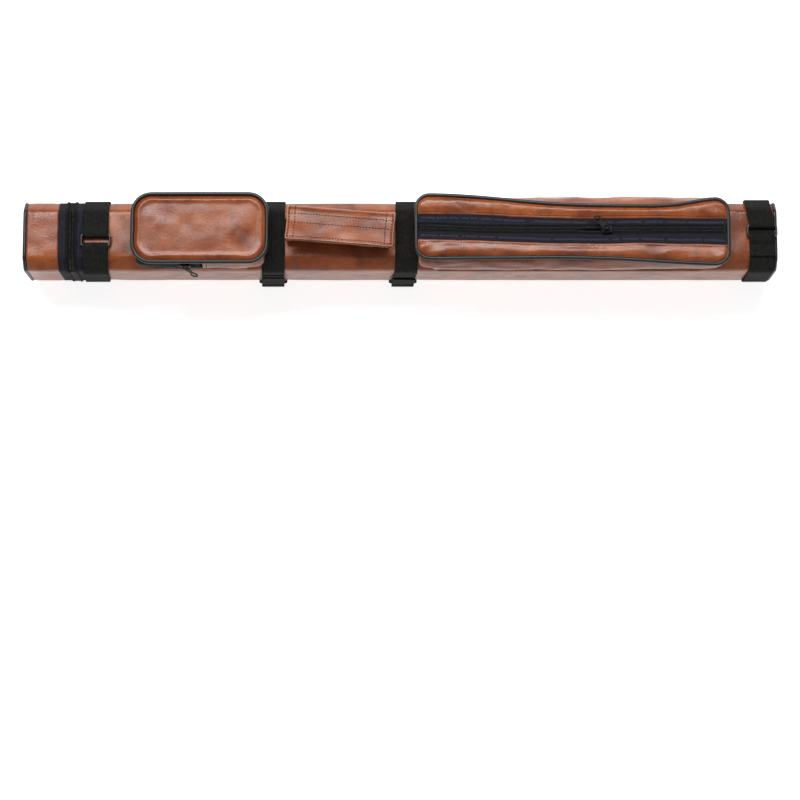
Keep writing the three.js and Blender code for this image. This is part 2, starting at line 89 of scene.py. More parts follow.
# the swap slot name for each material, which piece() looks up (threads pass their own) but does not
# store on the piece
SLOTS = {"leather": "leatherette", "leather_edge": "leatherette", "webbing": "webbing",
         "hook_tape": "webbing", "tape": "zip_tape", "chain_tape": "zip_tape", "coil": "zip_tape",
         "piping": "piping", "liner": "liner", "gunmetal": "dark_metal",
         "black_metal": "dark_metal", "buckle": "buckle_plastic"}


# ---------------------------------------------------------------- small helpers
def smooth(a, b, x):
    """Eases from 0 at a to 1 at b; a may be the greater."""
    t = min(max((x - a) / (b - a), 0.0), 1.0)
    return t * t * (3 - 2 * t)


def wobble(p, size, seed=0.0):
    """Soft noise from -1 to 1 with features about size mm across."""
    return noise.noise(Vector(p) / size + Vector((seed, seed * 0.7, seed * 1.3)))


def piece(name, verts, faces, material, body, slot=None, uvs=None, replaces=(), materials=None,
          face_mats=None):
    """A mesh in the row frame from points in mm. body is None when the piece is not attached to a
    body.
    """
    mesh = bpy.data.meshes.new(name)
    mesh.from_pydata([tuple(c * MM for c in v) for v in verts], [], faces)
    for m in materials or [material]:
        mesh.materials.append(MATS[m])
    if face_mats:
        for poly, index in zip(mesh.polygons, face_mats):
            poly.material_index = index
    if uvs:
        layer = mesh.uv_layers.new(name="UVMap")
        for loop in mesh.loops:
            layer.data[loop.index].uv = uvs[loop.vertex_index]
    for poly in mesh.polygons:
        poly.use_smooth = True
    shape = bmesh.new()
    shape.from_mesh(mesh)
    bmesh.ops.recalc_face_normals(shape, faces=shape.faces)
    shape.to_mesh(mesh)
    shape.free()
    obj = bpy.data.objects.new(name, mesh)
    bpy.context.scene.collection.objects.link(obj)
    if body:
        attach(obj, body)
    if replaces:
        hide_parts(*replaces)
    slot = slot or SLOTS.get(material)
    return obj


def joined(rows):
    """The points of all rows in one list."""
    return [v for row in rows for v in row]


def quads(rows, columns, wrap_rows=False, wrap_columns=False):
    """Faces of a grid of points."""
    faces = []
    for i in range(rows if wrap_rows else rows - 1):
        for j in range(columns if wrap_columns else columns - 1):
            a, b = i * columns, ((i + 1) % rows) * columns
            k = (j + 1) % columns
            faces.append((a + j, b + j, b + k, a + k))
    return faces


def disc(rows, columns):
    """Rings that shrink towards the middle, the last one filled by a single face."""
    last = (rows - 1) * columns
    return quads(rows, columns, wrap_columns=True) + [tuple(range(last, last + columns))]


def close_slot(verts, first):
    """Triangles across a long thin loop, the points from index first on."""
    upper = sorted((k for k in range(first, len(verts)) if verts[k].y >= 0),
                   key=lambda k: verts[k].x)
    lower = sorted((k for k in range(first, len(verts)) if verts[k].y < 0),
                   key=lambda k: verts[k].x)
    faces = []
    i = j = 0
    while i < len(upper) - 1 or j < len(lower) - 1:
        if j == len(lower) - 1 or (i < len(upper) - 1
                                   and verts[upper[i + 1]].x < verts[lower[j + 1]].x):
            faces.append((lower[j], upper[i + 1], upper[i]))
            i += 1
        else:
            faces.append((lower[j], lower[j + 1], upper[i]))
            j += 1
    return faces


def lengths(points):
    """How far along the polyline each of its points is."""
    total, out = 0.0, [0.0]
    for p, q in zip(points, points[1:]):
        total += (Vector(q) - Vector(p)).length
        out.append(total)
    return out


def resample(points, step, closed=False):
    """The polyline with points every step mm or so."""
    pts = [Vector(p) for p in points] + ([Vector(points[0])] if closed else [])
    run = lengths(pts)
    count = max(2, round(run[-1] / step))
    out, k = [], 0
    for i in range(count + (0 if closed else 1)):
        s = run[-1] * i / count
        while k < len(run) - 2 and run[k + 1] < s:
            k += 1
        span = run[k + 1] - run[k]
        out.append(pts[k].lerp(pts[k + 1], (s - run[k]) / span if span else 0.0))
    return out


def tangents(points, closed):
    """Unit directions of the line at its points."""
    n = len(points)
    out = []
    for i in range(n):
        a = points[(i - 1) % n] if closed or i else points[i]
        b = points[(i + 1) % n] if closed or i < n - 1 else points[i]
        out.append((b - a).normalized())
    return out


def sweep(points, normals, profile, closed):
    """Rows of profile (n, b) carried along points; n is along the normal, b across it."""
    rows = []
    for p, n, t in zip(points, normals, tangents(points, closed)):
        b = t.cross(n).normalized()
        n = b.cross(t).normalized()
        rows.append([p + n * u + b * v for u, v in profile])
    return rows


def swept(name, points, normals, profile, material, body, closed=False, caps=True, **extra):
    """A piece made by carrying profile along points, with a UV map in metres."""
    rows = sweep(points, normals, profile, closed)
    count = len(profile)
    faces = quads(len(rows), count, wrap_rows=closed, wrap_columns=True)
    if caps and not closed:
        faces += [tuple(range(count)), tuple(reversed(range((len(rows) - 1) * count,
                                                           len(rows) * count)))]
    run = lengths(points)
    uvs = [(s * MM, v * MM) for s in run for _, v in profile]
    return piece(name, joined(rows), faces, material, body, uvs=uvs, **extra)


def strap_profile(width, thickness, across=8):
    """A webbing's section: flat, with rounded selvedges."""
    h, w = thickness / 2, width / 2
    edge = min(h, 0.7)
    line = [-w + edge + (width - 2 * edge) * i / across for i in range(across + 1)]
    top = [(h, v) for v in line]
    bottom = [(-h, v) for v in reversed(line)]
    right = [(h * 0.6, w - edge * 0.15), (-h * 0.6, w - edge * 0.15)]
    left = [(-h * 0.6, -w + edge * 0.15), (h * 0.6, -w + edge * 0.15)]
    return top + right + bottom + left


def round_profile(radius, sides=14):
    """A circle, for sweep."""
    return [(radius * math.cos(2 * math.pi * k / sides), radius * math.sin(2 * math.pi * k / sides))
            for k in range(sides)]


def bead():
    """A unit capsule along x, as points and faces."""
    rings, sides = 4, 8
    verts = [(-1.0, 0.0, 0.0)]
    for i in range(rings):
        x = -0.86 + 1.72 * i / (rings - 1)
        r = 1.0 if 0 < i < rings - 1 else 0.68
        for k in range(sides):
            a = 2 * math.pi * k / sides
            verts.append((x, r * math.cos(a), r * math.sin(a)))
    verts.append((1.0, 0.0, 0.0))
    last = len(verts) - 1
    faces = [(0, 1 + (k + 1) % sides, 1 + k) for k in range(sides)]
    for i in range(rings - 1):
        for k in range(sides):
            a, b = 1 + i * sides, 1 + (i + 1) * sides
            m = (k + 1) % sides
            faces.append((a + k, a + m, b + m, b + k))
    faces += [(last, last - sides + k, last - sides + (k + 1) % sides) for k in range(sides)]
    return verts, faces


def beads(name, places, size, material, body, **extra):
    """One small capsule at each place (point, along, out), size (half length, width, height)."""
    shape, cells = bead()
    verts, faces = [], []
    for p, along, out in places:
        x = along.normalized()
        z = (out - x * out.dot(x)).normalized()
        y = z.cross(x)
        start = len(verts)
        verts += [p + x * (a * size[0]) + y * (b * size[1]) + z * (c * size[2])
                  for a, b, c in shape]
        faces += [tuple(start + k for k in cell) for cell in cells]
    return piece(name, verts, faces, material, body, **extra)


def nearest_normals(points, line, normals):
    """For each point, the normal of the line's nearest point."""
    out = []
    for p in points:
        k = min(range(len(line)), key=lambda i: (line[i] - p).length_squared)
        out.append(normals[k])
    return out


def places_along(line, normals, pitch):
    """(point, along, out) every pitch mm of the line."""
    points = resample(line, pitch)
    return list(zip(points, tangents(points, False), nearest_normals(points, line, normals)))


def stitches(name, lines, body, material="thread", pitch=3.0, **extra):
    """Rows of stitches. lines holds (points, normals) pairs, on the surface."""
    places = []
    for line, normals in lines:
        places += places_along(line, normals, pitch)
    return beads(name, places, (pitch * 0.36, 0.34, 0.3), material, body, **extra)


# ---------------------------------------------------------------- materials
MATS = {}


def node_material(name, rough, metal=0.0, **sockets):
    """A new material; sockets are Principled inputs, with _ for each space."""
    mat = bpy.data.materials.new(name)
    mat.use_nodes = True
    tree = mat.node_tree
    shader = tree.nodes["Principled BSDF"]
    shader.inputs["Roughness"].default_value = rough
    shader.inputs["Metallic"].default_value = metal
    for key, value in sockets.items():
        shader.inputs[key.replace("_", " ")].default_value = value
    MATS[name] = mat
    return tree, shader


def add_node(tree, kind, inputs=None, **settings):
    """A shader node. Its inputs take sockets, which are linked, or values."""
    node = tree.nodes.new(kind)
    for key, value in settings.items():
        setattr(node, key, value)
    for key, value in (inputs or {}).items():
        if isinstance(value, bpy.types.NodeSocket):
            tree.links.new(value, node.inputs[key])
        else:
            node.inputs[key].default_value = value
    return node


def srgb(r, g, b):
    """A linear colour from 8-bit sRGB."""
    def linear(c):
        c /= 255
        return c / 12.92 if c <= 0.04045 else ((c + 0.055) / 1.055) ** 2.4
    return (linear(r), linear(g), linear(b), 1.0)


def ramp(tree, value, stops):
    """Colour from a value, by stops of (position, colour)."""
    node = add_node(tree, "ShaderNodeValToRGB", {"Fac": value})
    elements = node.color_ramp.elements
    while len(elements) < len(stops):
        elements.new(0.5)
    for element, (at, colour) in zip(elements, stops):
        element.position = at
        element.color = colour
    return node.outputs["Color"]


def fractal(tree, scale, detail=3.0, rough=0.55, distortion=0.0):
    """Noise in object space, scale features per metre."""
    at = add_node(tree, "ShaderNodeTexCoord").outputs["Object"]
    return add_node(tree, "ShaderNodeTexNoise", {"Vector": at, "Scale": scale, "Detail": detail,
                    "Roughness": rough, "Distortion": distortion}).outputs["Fac"]


def math_node(tree, operation, a, b=None):
    inputs = {0: a} if b is None else {0: a, 1: b}
    return add_node(tree, "ShaderNodeMath", inputs, operation=operation).outputs[0]


def multiply_colour(tree, fac, a, b):
    """Sockets 0, 6, 7 and 2 are the mix node's factor, its two colours and its result."""
    return add_node(tree, "ShaderNodeMix", {0: fac, 6: a, 7: b}, data_type="RGBA",
                    blend_type="MULTIPLY").outputs[2]


def bump(tree, shader, layers):
    """layers holds (height, strength, distance in metres), coarse to fine."""
    normal = None
    for height, strength, distance in layers:
        inputs = {"Height": height, "Strength": strength, "Distance": distance}
        if normal:
            inputs["Normal"] = normal
        normal = add_node(tree, "ShaderNodeBump", inputs).outputs["Normal"]
    tree.links.new(normal, shader.inputs["Normal"])


def leather_material(name, dark, mid, light):
    """Glossy embossed leatherette: antiqued mottling under a pebbled grain."""
    tree, shader = node_material(name, 0.3, Specular_IOR_Level=0.42)
    cloud = fractal(tree, 26, 3.0, 0.55, distortion=0.3)
    blotch = fractal(tree, 95, 3.0, 0.6)
    both = math_node(tree, "ADD", math_node(tree, "MULTIPLY", cloud, 0.75),
                     math_node(tree, "MULTIPLY", blotch, 0.25))
    colour = ramp(tree, both, [(0.33, dark), (0.45, mid), (0.64, light)])
    grain = fractal(tree, 700, 2.0, 0.5, distortion=0.4)
    pores = ramp(tree, grain, [(0.36, (0.7, 0.62, 0.58, 1)), (0.54, (1, 1, 1, 1))])
    colour = multiply_colour(tree, 0.7, colour, pores)
    tree.links.new(colour, shader.inputs["Base Color"])
    polish = add_node(tree, "ShaderNodeMapRange", {"Value": fractal(tree, 70, 3.0), "To Min": 0.22,
                      "To Max": 0.36}).outputs[0]
    tree.links.new(polish, shader.inputs["Roughness"])
    bump(tree, shader, [(fractal(tree, 36, 1.0), 0.55, 0.0032), (grain, 0.45, 0.0005)])


def woven_material(name, dark, light, pitch, rib, depth, rough=0.85):
    """Threads pitch m apart along the strap and rib m apart across it, from its own UV map."""
    tree, shader = node_material(name, rough, Specular_IOR_Level=0.2)
    uv = add_node(tree, "ShaderNodeTexCoord").outputs["UV"]
    split = add_node(tree, "ShaderNodeSeparateXYZ", {"Vector": uv})
    along, across = split.outputs["X"], split.outputs["Y"]
    turn = 2 * math.pi
    u = math_node(tree, "SINE", math_node(tree, "MULTIPLY", along, turn / pitch))
    v = math_node(tree, "SINE", math_node(tree, "MULTIPLY", across, turn / rib))
    weave = math_node(tree, "MULTIPLY", u, v)
    ribs = math_node(tree, "ABSOLUTE", math_node(tree, "SINE",
                     math_node(tree, "MULTIPLY", across, math.pi / rib)))
    height = math_node(tree, "ADD", math_node(tree, "MULTIPLY", weave, 0.5), ribs)
    worn = math_node(tree, "ADD", math_node(tree, "MULTIPLY", fractal(tree, 260, 2.0), 0.6),
                     math_node(tree, "MULTIPLY", height, 0.25))
    colour = ramp(tree, worn, [(0.2, dark), (0.72, light)])
    tree.links.new(colour, shader.inputs["Base Color"])
    bump(tree, shader, [(fractal(tree, 150, 2.0), 0.2, 0.0008), (height, 0.7, depth)])


def plain_material(name, colour, rough, metal=0.0, scale=300, spread=0.25, height=0.0001,
                   **sockets):
    tree, shader = node_material(name, rough, metal, **sockets)
    low = tuple(c * (1 - spread) for c in colour[:3]) + (1,)
    high = tuple(min(c * (1 + spread), 1) for c in colour[:3]) + (1,)
    grain = fractal(tree, scale, 4.0)
    tree.links.new(ramp(tree, grain, [(0.3, low), (0.7, high)]), shader.inputs["Base Color"])
    haze = add_node(tree, "ShaderNodeMapRange", {"Value": fractal(tree, scale / 3, 3.0),
                    "To Min": rough * 0.85, "To Max": min(rough * 1.2, 1.0)}).outputs[0]
    tree.links.new(haze, shader.inputs["Roughness"])
    bump(tree, shader, [(grain, 0.4, height)])


def make_materials():
    leather_material("leather", srgb(98, 46, 21), srgb(126, 61, 27), srgb(154, 83, 40))
    leather_material("leather_edge", srgb(140, 92, 66), srgb(196, 146, 116), srgb(222, 180, 152))
    woven_material("webbing", srgb(4, 4, 4), srgb(34, 34, 30), 0.0024, 0.0019, 0.0008)
    woven_material("tape", srgb(10, 10, 15), srgb(38, 39, 52), 0.0011, 0.0011, 0.0002, 0.8)
    woven_material("chain_tape", srgb(5, 5, 6), srgb(22, 22, 24), 0.0008, 0.0008, 0.0001, 0.8)
    plain_material("coil", srgb(13, 13, 14), 0.34, scale=900, height=0.00005)
    plain_material("piping", srgb(15, 13, 14), 0.4, scale=140, height=0.00025)
    plain_material("thread", srgb(38, 17, 10), 0.85, scale=2500, Specular_IOR_Level=0.1)
    plain_material("thread_black", srgb(9, 9, 10), 0.7, scale=2500)
    plain_material("thread_blue", srgb(72, 75, 98), 0.75, scale=2500)
    plain_material("gunmetal", srgb(70, 70, 74), 0.3, 0.9, scale=500, height=0.00002)
    plain_material("black_metal", srgb(7, 7, 8), 0.42, scale=500, height=0.00002,
                   Specular_IOR_Level=0.18)
    plain_material("buckle", srgb(56, 58, 60), 0.45, scale=500, height=0.00005)
    plain_material("hook_tape", srgb(12, 12, 14), 0.95, scale=2200, spread=0.6, height=0.0006)
    plain_material("board", srgb(46, 40, 36), 0.8, scale=700)
    plain_material("foam", srgb(30, 31, 34), 0.95, scale=1600, spread=0.4, height=0.0005)
    plain_material("liner", srgb(46, 48, 54), 0.9, scale=1800, spread=0.3, height=0.0003)
    node_material("floor", 0.75, Emission_Strength=0.78, Base_Color=(0.8, 0.8, 0.81, 1),
                  Emission_Color=(1, 1, 1, 1))


# ---------------------------------------------------------------- the case's section
LONG_FLAT, SHORT_FLAT = 9, 2  # steps along the section's wide faces and its bevels


def section(offset=0.0, arc=5):
    """The eight-sided outline, offset outwards, as ((y, z), (normal y, normal z))."""
    a, b = HALF_W + offset, HALF_H + offset
    c = CHAMFER + offset * (2 - math.sqrt(2))
    corners = [(a, c - b), (a, b - c), (a - c, b), (c - a, b), (-a, b - c), (-a, c - b),
               (c - a, -b), (a - c, -b)]
    radius = max(CREASE + offset, 0.5)
    turn = math.pi / 4
    arcs = []
    for i, (y, z) in enumerate(corners):
        middle = (i - 0.5) * turn
        reach = radius / math.cos(turn / 2)
        cy, cz = y - reach * math.cos(middle), z - reach * math.sin(middle)
        points = []
        for k in range(arc + 1):
            t = (i - 1 + k / arc) * turn
            points.append(((cy + radius * math.cos(t), cz + radius * math.sin(t)),
                           (math.cos(t), math.sin(t))))
        arcs.append(points)
    out = []
    for points, after in zip(arcs, arcs[1:] + arcs[:1]):
        out += points
        (p, n), (q, _) = points[-1], after[0]
        steps = LONG_FLAT if math.hypot(q[0] - p[0], q[1] - p[1]) > 25 else SHORT_FLAT
        for k in range(1, steps):
            s = k / steps
            out.append(((p[0] + (q[0] - p[0]) * s, p[1] + (q[1] - p[1]) * s), n))
    return [((y, z + MID_Z), n) for (y, z), n in out]


def top_height(y):
    """Height of the cover's outer face over y, on the pocket side."""
    edge = HALF_W - CHAMFER
    drop = max(abs(y) - edge, 0.0)
    soft = 0.3 * math.exp(-((abs(y) - edge) / 3.0) ** 2)
    return TOP - drop - soft


def press(x):
    """How far straps pull the cover in near their edges, at x."""
    depth = 0.0
    for x0, width in ((LID_BAND_X, BAND), (CINCH_X["front"], CINCH), (CINCH_X["rear"], CINCH),
                      (BASE_BAND_X, BAND)):
        gap = max(x0 - x, x - x0 - width, 0.0)
        depth = max(depth, 0.55 * math.exp(-gap / 5.0))
    return depth


def leather_tube(name, x0, x1, step, body, replaces, amplitude=0.35, crown=0.0):
    """Leatherette drawn round the shell, tucked in at both ends."""
    outline = section(arc=4)
    count = max(4, round((x1 - x0) / step))
    xs = [x0, x0] + [x0 + (x1 - x0) * i / count for i in range(1, count)] + [x1, x1]
    rows = []
    for i, x in enumerate(xs):
        tuck = -1.3 if i in (0, len(xs) - 1) else 0.0
        middle = 1 - abs(2 * (x - x0) / (x1 - x0) - 1)
        row = []
        for (y, z), (ny, nz) in outline:
            wave = wobble((x, y, z), 38, 2.0) * amplitude + wobble((x, y, z), 11, 5.0) * 0.09
            near = math.exp(-((abs(y) - HALF_W + CHAMFER + 2) / 5.0) ** 2) * (z > MID_Z)
            crinkle = wobble((x * 2.0, y, z), 9, 27.0) * 0.5 * near
            push = tuck + wave + crinkle - press(x) - 0.25 + crown * smooth(0, 0.6, middle)
            row.append(Vector((x, y + ny * push, z + nz * push)))
        rows.append(row)
    faces = quads(len(rows), len(outline), wrap_columns=True)
    return piece(name, joined(rows), faces, "leather", body,
                 replaces=replaces)


def end_panel(name, x, outward, inset, body, replaces):
    """A leatherette panel that closes an end, a little domed."""
    outline = section(-inset, arc=4)
    rings = 12
    rows = []
    for k in range(rings + 1):
        share = 1 - 0.97 * k / rings
        dome = 0.9 * (1 - share ** 3) - 0.5
        rows.append([Vector((x + outward * (dome + wobble((0, y * share, z * share), 25) * 0.2),
                             y * share, MID_Z + (z - MID_Z) * share)) for (y, z), _ in outline])
    faces = disc(len(rows), len(outline))
    return piece(name, joined(rows), faces, "leather", body,
                 replaces=replaces)


def ring_path(offset, x):
    """Points and normals right round the case's section at x."""
    outline = section(offset)
    points = [Vector((x, y, z)) for (y, z), _ in outline]
    normals = [Vector((0, ny, nz)) for _, (ny, nz) in outline]
    return points, normals


def end_piping(name, x, radius, inset, body, replaces):
    """The cord round an end, and the seam at its foot."""
    points, normals = ring_path(-inset, x)
    swept(name, points, normals, round_profile(radius), "piping", body, closed=True,
          replaces=replaces)
    seam, seam_normals = ring_path(-inset + 0.2, x + math.copysign(radius * 0.9, -x))
    swept(name + "_seam", seam, seam_normals, round_profile(0.7, 8), "piping", body, closed=True)


# ---------------------------------------------------------------- lid zip
ZIP_TAPE = 0.9
CHAIN_GAP = 0.15  # from the zip's middle to its chain tape
CHAIN_EDGE = 4.4  # and to the chain tape's other edge
LIP_X = 4.7
CHAIN_SINK = -0.55
ZIP_END_Z = UNDER + 14  # where the chain stops on both sides


def tape_ring(name, x0, x1, body, material, replaces=(), offset=0.0):
    """A band of zip tape round the case between x0 and x1."""
    points, normals = ring_path(offset - ZIP_TAPE / 2, (x0 + x1) / 2)
    profile = strap_profile(x1 - x0, ZIP_TAPE, 6)
    swept(name, points, normals, profile, material, body, closed=True, replaces=replaces)


def three_sides(offset, x):
    """The run of the lid's zip: up one side, over the top and down the other."""
    outline = section(offset)
    start = next(i for i, ((y, z), _) in enumerate(outline) if y > 0 and z > ZIP_END_Z)
    around = outline[start:] + outline[:start]
    run = [(p, n) for p, n in around if p[1] > ZIP_END_Z]
    return ([Vector((x, y, z)) for (y, z), _ in run], [Vector((0, ny, nz)) for _, (ny, nz) in run])


def coil(name, line, normals, side, body, offset, pitch=2.0, reach=1.5, half=1.9, **extra):
    """One half of a zip's chain: loops of coil that stand across the run."""
    places = []
    for p, t, out in places_along(line, normals, pitch):
        across = t.cross(out).normalized()
        shift = t * (pitch * 0.5 if side > 0 else 0.0)
        places.append((p + shift + across * (side * reach) + out * offset, across, out))
    return beads(name, places, (half, pitch * 0.24, 0.85), "coil", body, **extra)


def zip_lip(name, x, body):
    """The zip tape folds up into a soft lip along its chain."""
    points, normals = ring_path(0.35, x)
    wave = [p + Vector((wobble((p.y, p.z, x), 14, 41.0) * 0.7, 0, 0))
            + n * wobble((p.y, p.z, x * 3), 11, 44.0) * 0.5 for p, n in zip(points, normals)]
    profile = [(n * 0.85, b * 1.25) for n, b in round_profile(1.25, 10)]
    swept(name, wave, normals, profile, "chain_tape", body, closed=True)


def lid_zip():
    meet = CHAIN_EDGE - 0.1
    tape_ring("lid_tape", LID_TAPE_X, ZIP_X - meet, "lid", "tape", ["lid_zip_tape_lid"])
    tape_ring("lid_chain_tape", ZIP_X - CHAIN_EDGE, ZIP_X - CHAIN_GAP, "lid", "chain_tape",
              offset=CHAIN_SINK)
    tape_ring("body_tape", ZIP_X + meet, BODY_TAPE_X, "case", "tape", ["lid_zip_tape_body"])
    tape_ring("body_chain_tape", ZIP_X + CHAIN_GAP, ZIP_X + CHAIN_EDGE, "case", "chain_tape",
              offset=CHAIN_SINK)
    line, normals = three_sides(CHAIN_SINK, ZIP_X)
    coil("lid_coil", line, normals, -1, "lid", 0.35)
    coil("body_coil", line, normals, 1, "case", 0.35)
    for name, x, body in (("lid_lip", ZIP_X - LIP_X, "lid"), ("body_lip", ZIP_X + LIP_X, "case")):
        zip_lip(name, x, body)
    lines = {"lid": (LID_TAPE_X + 1.6, LID_TAPE_X + 6.0), "case": (BODY_TAPE_X - 1.8,)}
    for body, xs in lines.items():
        stitches(f"tape_stitches_{body}", [closed_line(ring_path(0.02, x)) for x in xs], body,
                 "thread_black", 2.6, slot="zip_tape")


def closed_line(path):
    """The path with its first point and normal again at its end."""
    points, normals = path
    return points + points[:1], normals + normals[:1]


# ---------------------------------------------------------------- straps
STRAP_PITCH = 2.4  # of the stitches in webbing
SEWN_HALF = 12.0


def top_walk(offset, x, start_y, end_z, side):
    """Along the outside of the case from the top at start_y, over the side's bevel and down."""
    outline = section(offset)
    run = [((y, z), n) for (y, z), n in outline
           if side * y > side * start_y and z > MID_Z and (z > end_z or side * y < 0)]
    run.sort(key=lambda item: (side * item[0][0], -item[0][1]))
    points = [Vector((x, y, z)) for (y, z), _ in run]
    normals = [Vector((0, *n)) for _, n in run]
    first = Vector((x, start_y, TOP + offset))
    last = Vector((x, side * (HALF_W + offset), end_z))
    return [first] + points + [last], [UP] + normals + [Vector((0, side, 0))]


def around_walk(offset, x, from_y, to_y):
    """All the way round from the top at from_y (the +Y side of it) to the top at to_y."""
    outline = section(offset)
    top = TOP + offset - 0.01
    keep = [((y, z), n) for (y, z), n in outline
            if not (z > top and to_y < y < from_y)]
    keep.sort(key=lambda item: angle_from_top(item[0]))
    points = [Vector((x, y, z)) for (y, z), _ in keep]
    normals = [Vector((0, *n)) for _, n in keep]
    return points, normals


def angle_from_top(p):
    """Clockwise from +Z towards +Y."""
    return math.atan2(p[0], p[1] - MID_Z) % (2 * math.pi)


def rect_ring(name, x0, x1, y0, y1, z, bar, material, body, replaces=(), corner=3.0, height=None):
    """A rectangular wire ring lying flat, with rounded corners."""
    half = bar / 2
    path = []
    for cx, cy, quarter in ((x1 - corner, y0 + corner, 3), (x1 - corner, y1 - corner, 0),
                            (x0 + corner, y1 - corner, 1), (x0 + corner, y0 + corner, 2)):
        for k in range(7):
            a = (quarter + k / 6) * math.pi / 2
            path.append(Vector((cx + (corner - half) * math.cos(a),
                                cy + (corner - half) * math.sin(a), z)))
    points = resample(path, 1.2, closed=True)
    squeeze = (height or bar) / bar
    profile = [(n * squeeze, b) for n, b in round_profile(half, 12)]
    return swept(name, points, [UP] * len(points), profile, material, body, closed=True,
                 replaces=replaces)


def fold_over(bar_y, side, z_low, radius, x):
    """Half a turn of webbing round a ring's bar, from below it to above it."""
    points, normals = [], []
    for k in range(9):
        a = -math.pi / 2 + math.pi * k / 8
        n = Vector((0, -side * math.cos(a), math.sin(a)))
        points.append(Vector((x, bar_y, z_low + radius)) + n * radius)
        normals.append(n)
    return points, normals


def end_band(name, x0, ring_y, side, tail_foot, slant, rise):
    """An end band, its ring on top, and the tail that folds over to the side that side names."""
    x = x0 + BAND / 2
    low, radius, bar = TOP + WEB_OFF, 2.35, 5.7
    profile = strap_profile(BAND, WEB)
    for s in (1, -1):
        bar_y = ring_y + s * bar
        up, up_normals = fold_over(bar_y, s, low, radius, x)
        over = [Vector((x, bar_y + s * 2.5, low + 2 * radius - 0.15)),
                Vector((x, bar_y + s * 6.0, low + 2 * radius - 0.9)),
                Vector((x, bar_y + s * 9.5, TOP + TAIL_OFF))]
        if s == side:
            tail, tail_normals = top_walk(TAIL_OFF, x, bar_y + s * 11, tail_foot, s)
            line = up[4:] + over + tail
            points = resample(line, 1.6)
            near = nearest_normals(points, line, up_normals[4:] + [UP] * 3 + tail_normals)
            made = swept(f"{name}_tail", lean(points, slant, rise), near, profile, "webbing", None,
                         replaces=[f"{name}_band_tail"])
            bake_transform(made)
        else:
            end_y = min(abs(bar_y + s * 24), HALF_W - CHAMFER - 2)
            line = up[4:] + over + [Vector((x, s * end_y, TOP + TAIL_OFF))]
            points = resample(line, 1.6)
            near = nearest_normals(points, line, up_normals[4:] + [UP] * 4)
            swept(f"{name}_sewn_end", points, near, profile, "webbing", "case")
            sew_box(f"{name}_sewn_stitches", x0 + 2.5, x0 + BAND - 2.5, bar_y + s * 11,
                    bar_y + s * 21.5, TOP + TAIL_OFF + WEB / 2, "case")
        line = [Vector((x, bar_y + s * 6, low)), Vector((x, bar_y, low))] + up[:5]
        points = resample(line, 1.2)
        swept(f"{name}_loop_{'upper' if s > 0 else 'lower'}", points,
              nearest_normals(points, line, [-UP, -UP] + up_normals[:5]), profile, "webbing", "case")
    points, normals = around_walk(WEB_OFF, x, ring_y + bar + 4, ring_y - bar - 4)
    swept(f"{name}_webbing", lean(points, slant, rise), normals, profile, "webbing", "case",
          replaces=[f"{name}_band"])
    if ring_y > 0:  # the base band's webbing also runs on under its ring
        under = [Vector((x, ring_y + d, TOP + WEB_OFF - 0.2)) for d in (-12, -6, 0, 6, 12)]
        swept(f"{name}_under", under, [UP] * 5, strap_profile(BAND - 0.4, WEB * 0.8), "webbing",
              "case")
    half = 7.2
    rect_ring(f"{name}_ring", x0 - 3.2, min(x0 + BAND + 3.2, END), ring_y - half, ring_y + half,
              low + radius, 2.7, "gunmetal", "case", [f"{name}_band_ring"])


def lean(points, down, up=0.0):
    """Shifts a strap towards the lid, down mm low on the -y side and up mm high on the +y side."""
    def shift(p):
        low = min(max((TOP - p.z) / 70.0, 0.0), 1.05) * smooth(38, -25, p.y)
        high = smooth(5, 38, p.y) * smooth(UNDER + 5, TOP - 25, p.z)
        return Vector((p.x - down * low - up * high, p.y, p.z))
    return [shift(p) for p in points]


def sew_box(name, x0, x1, y0, y1, z, body):
    """A box of stitches with a cross in it, on a level strap."""
    a, b, c, d = (Vector((x0, y0, z)), Vector((x1, y0, z)), Vector((x1, y1, z)),
                  Vector((x0, y1, z)))
    lines = [(a, b), (b, c), (c, d), (d, a), (a, c), (b, d)]
    stitches(name, [(line, [UP, UP]) for line in lines], body, "thread_black", STRAP_PITCH,
             slot="webbing")


def sew_underside(name, x0, x1, z, cross=False, body="case"):
    """A box of stitches, maybe with a cross in it, on the face of a strap that looks down."""
    low, high = -SEWN_HALF, SEWN_HALF
    lines = [(x0, low, x0, high), (x1, low, x1, high), (x0, low, x1, low), (x0, high, x1, high)]
    if cross:
        lines += [(x0, low, x1, high), (x0, high, x1, low)]
    stitches(name, [([Vector((a, b, z)), Vector((c, d, z))], [-UP, -UP]) for a, b, c, d in lines],
             body, "thread_black", STRAP_PITCH, slot="webbing")


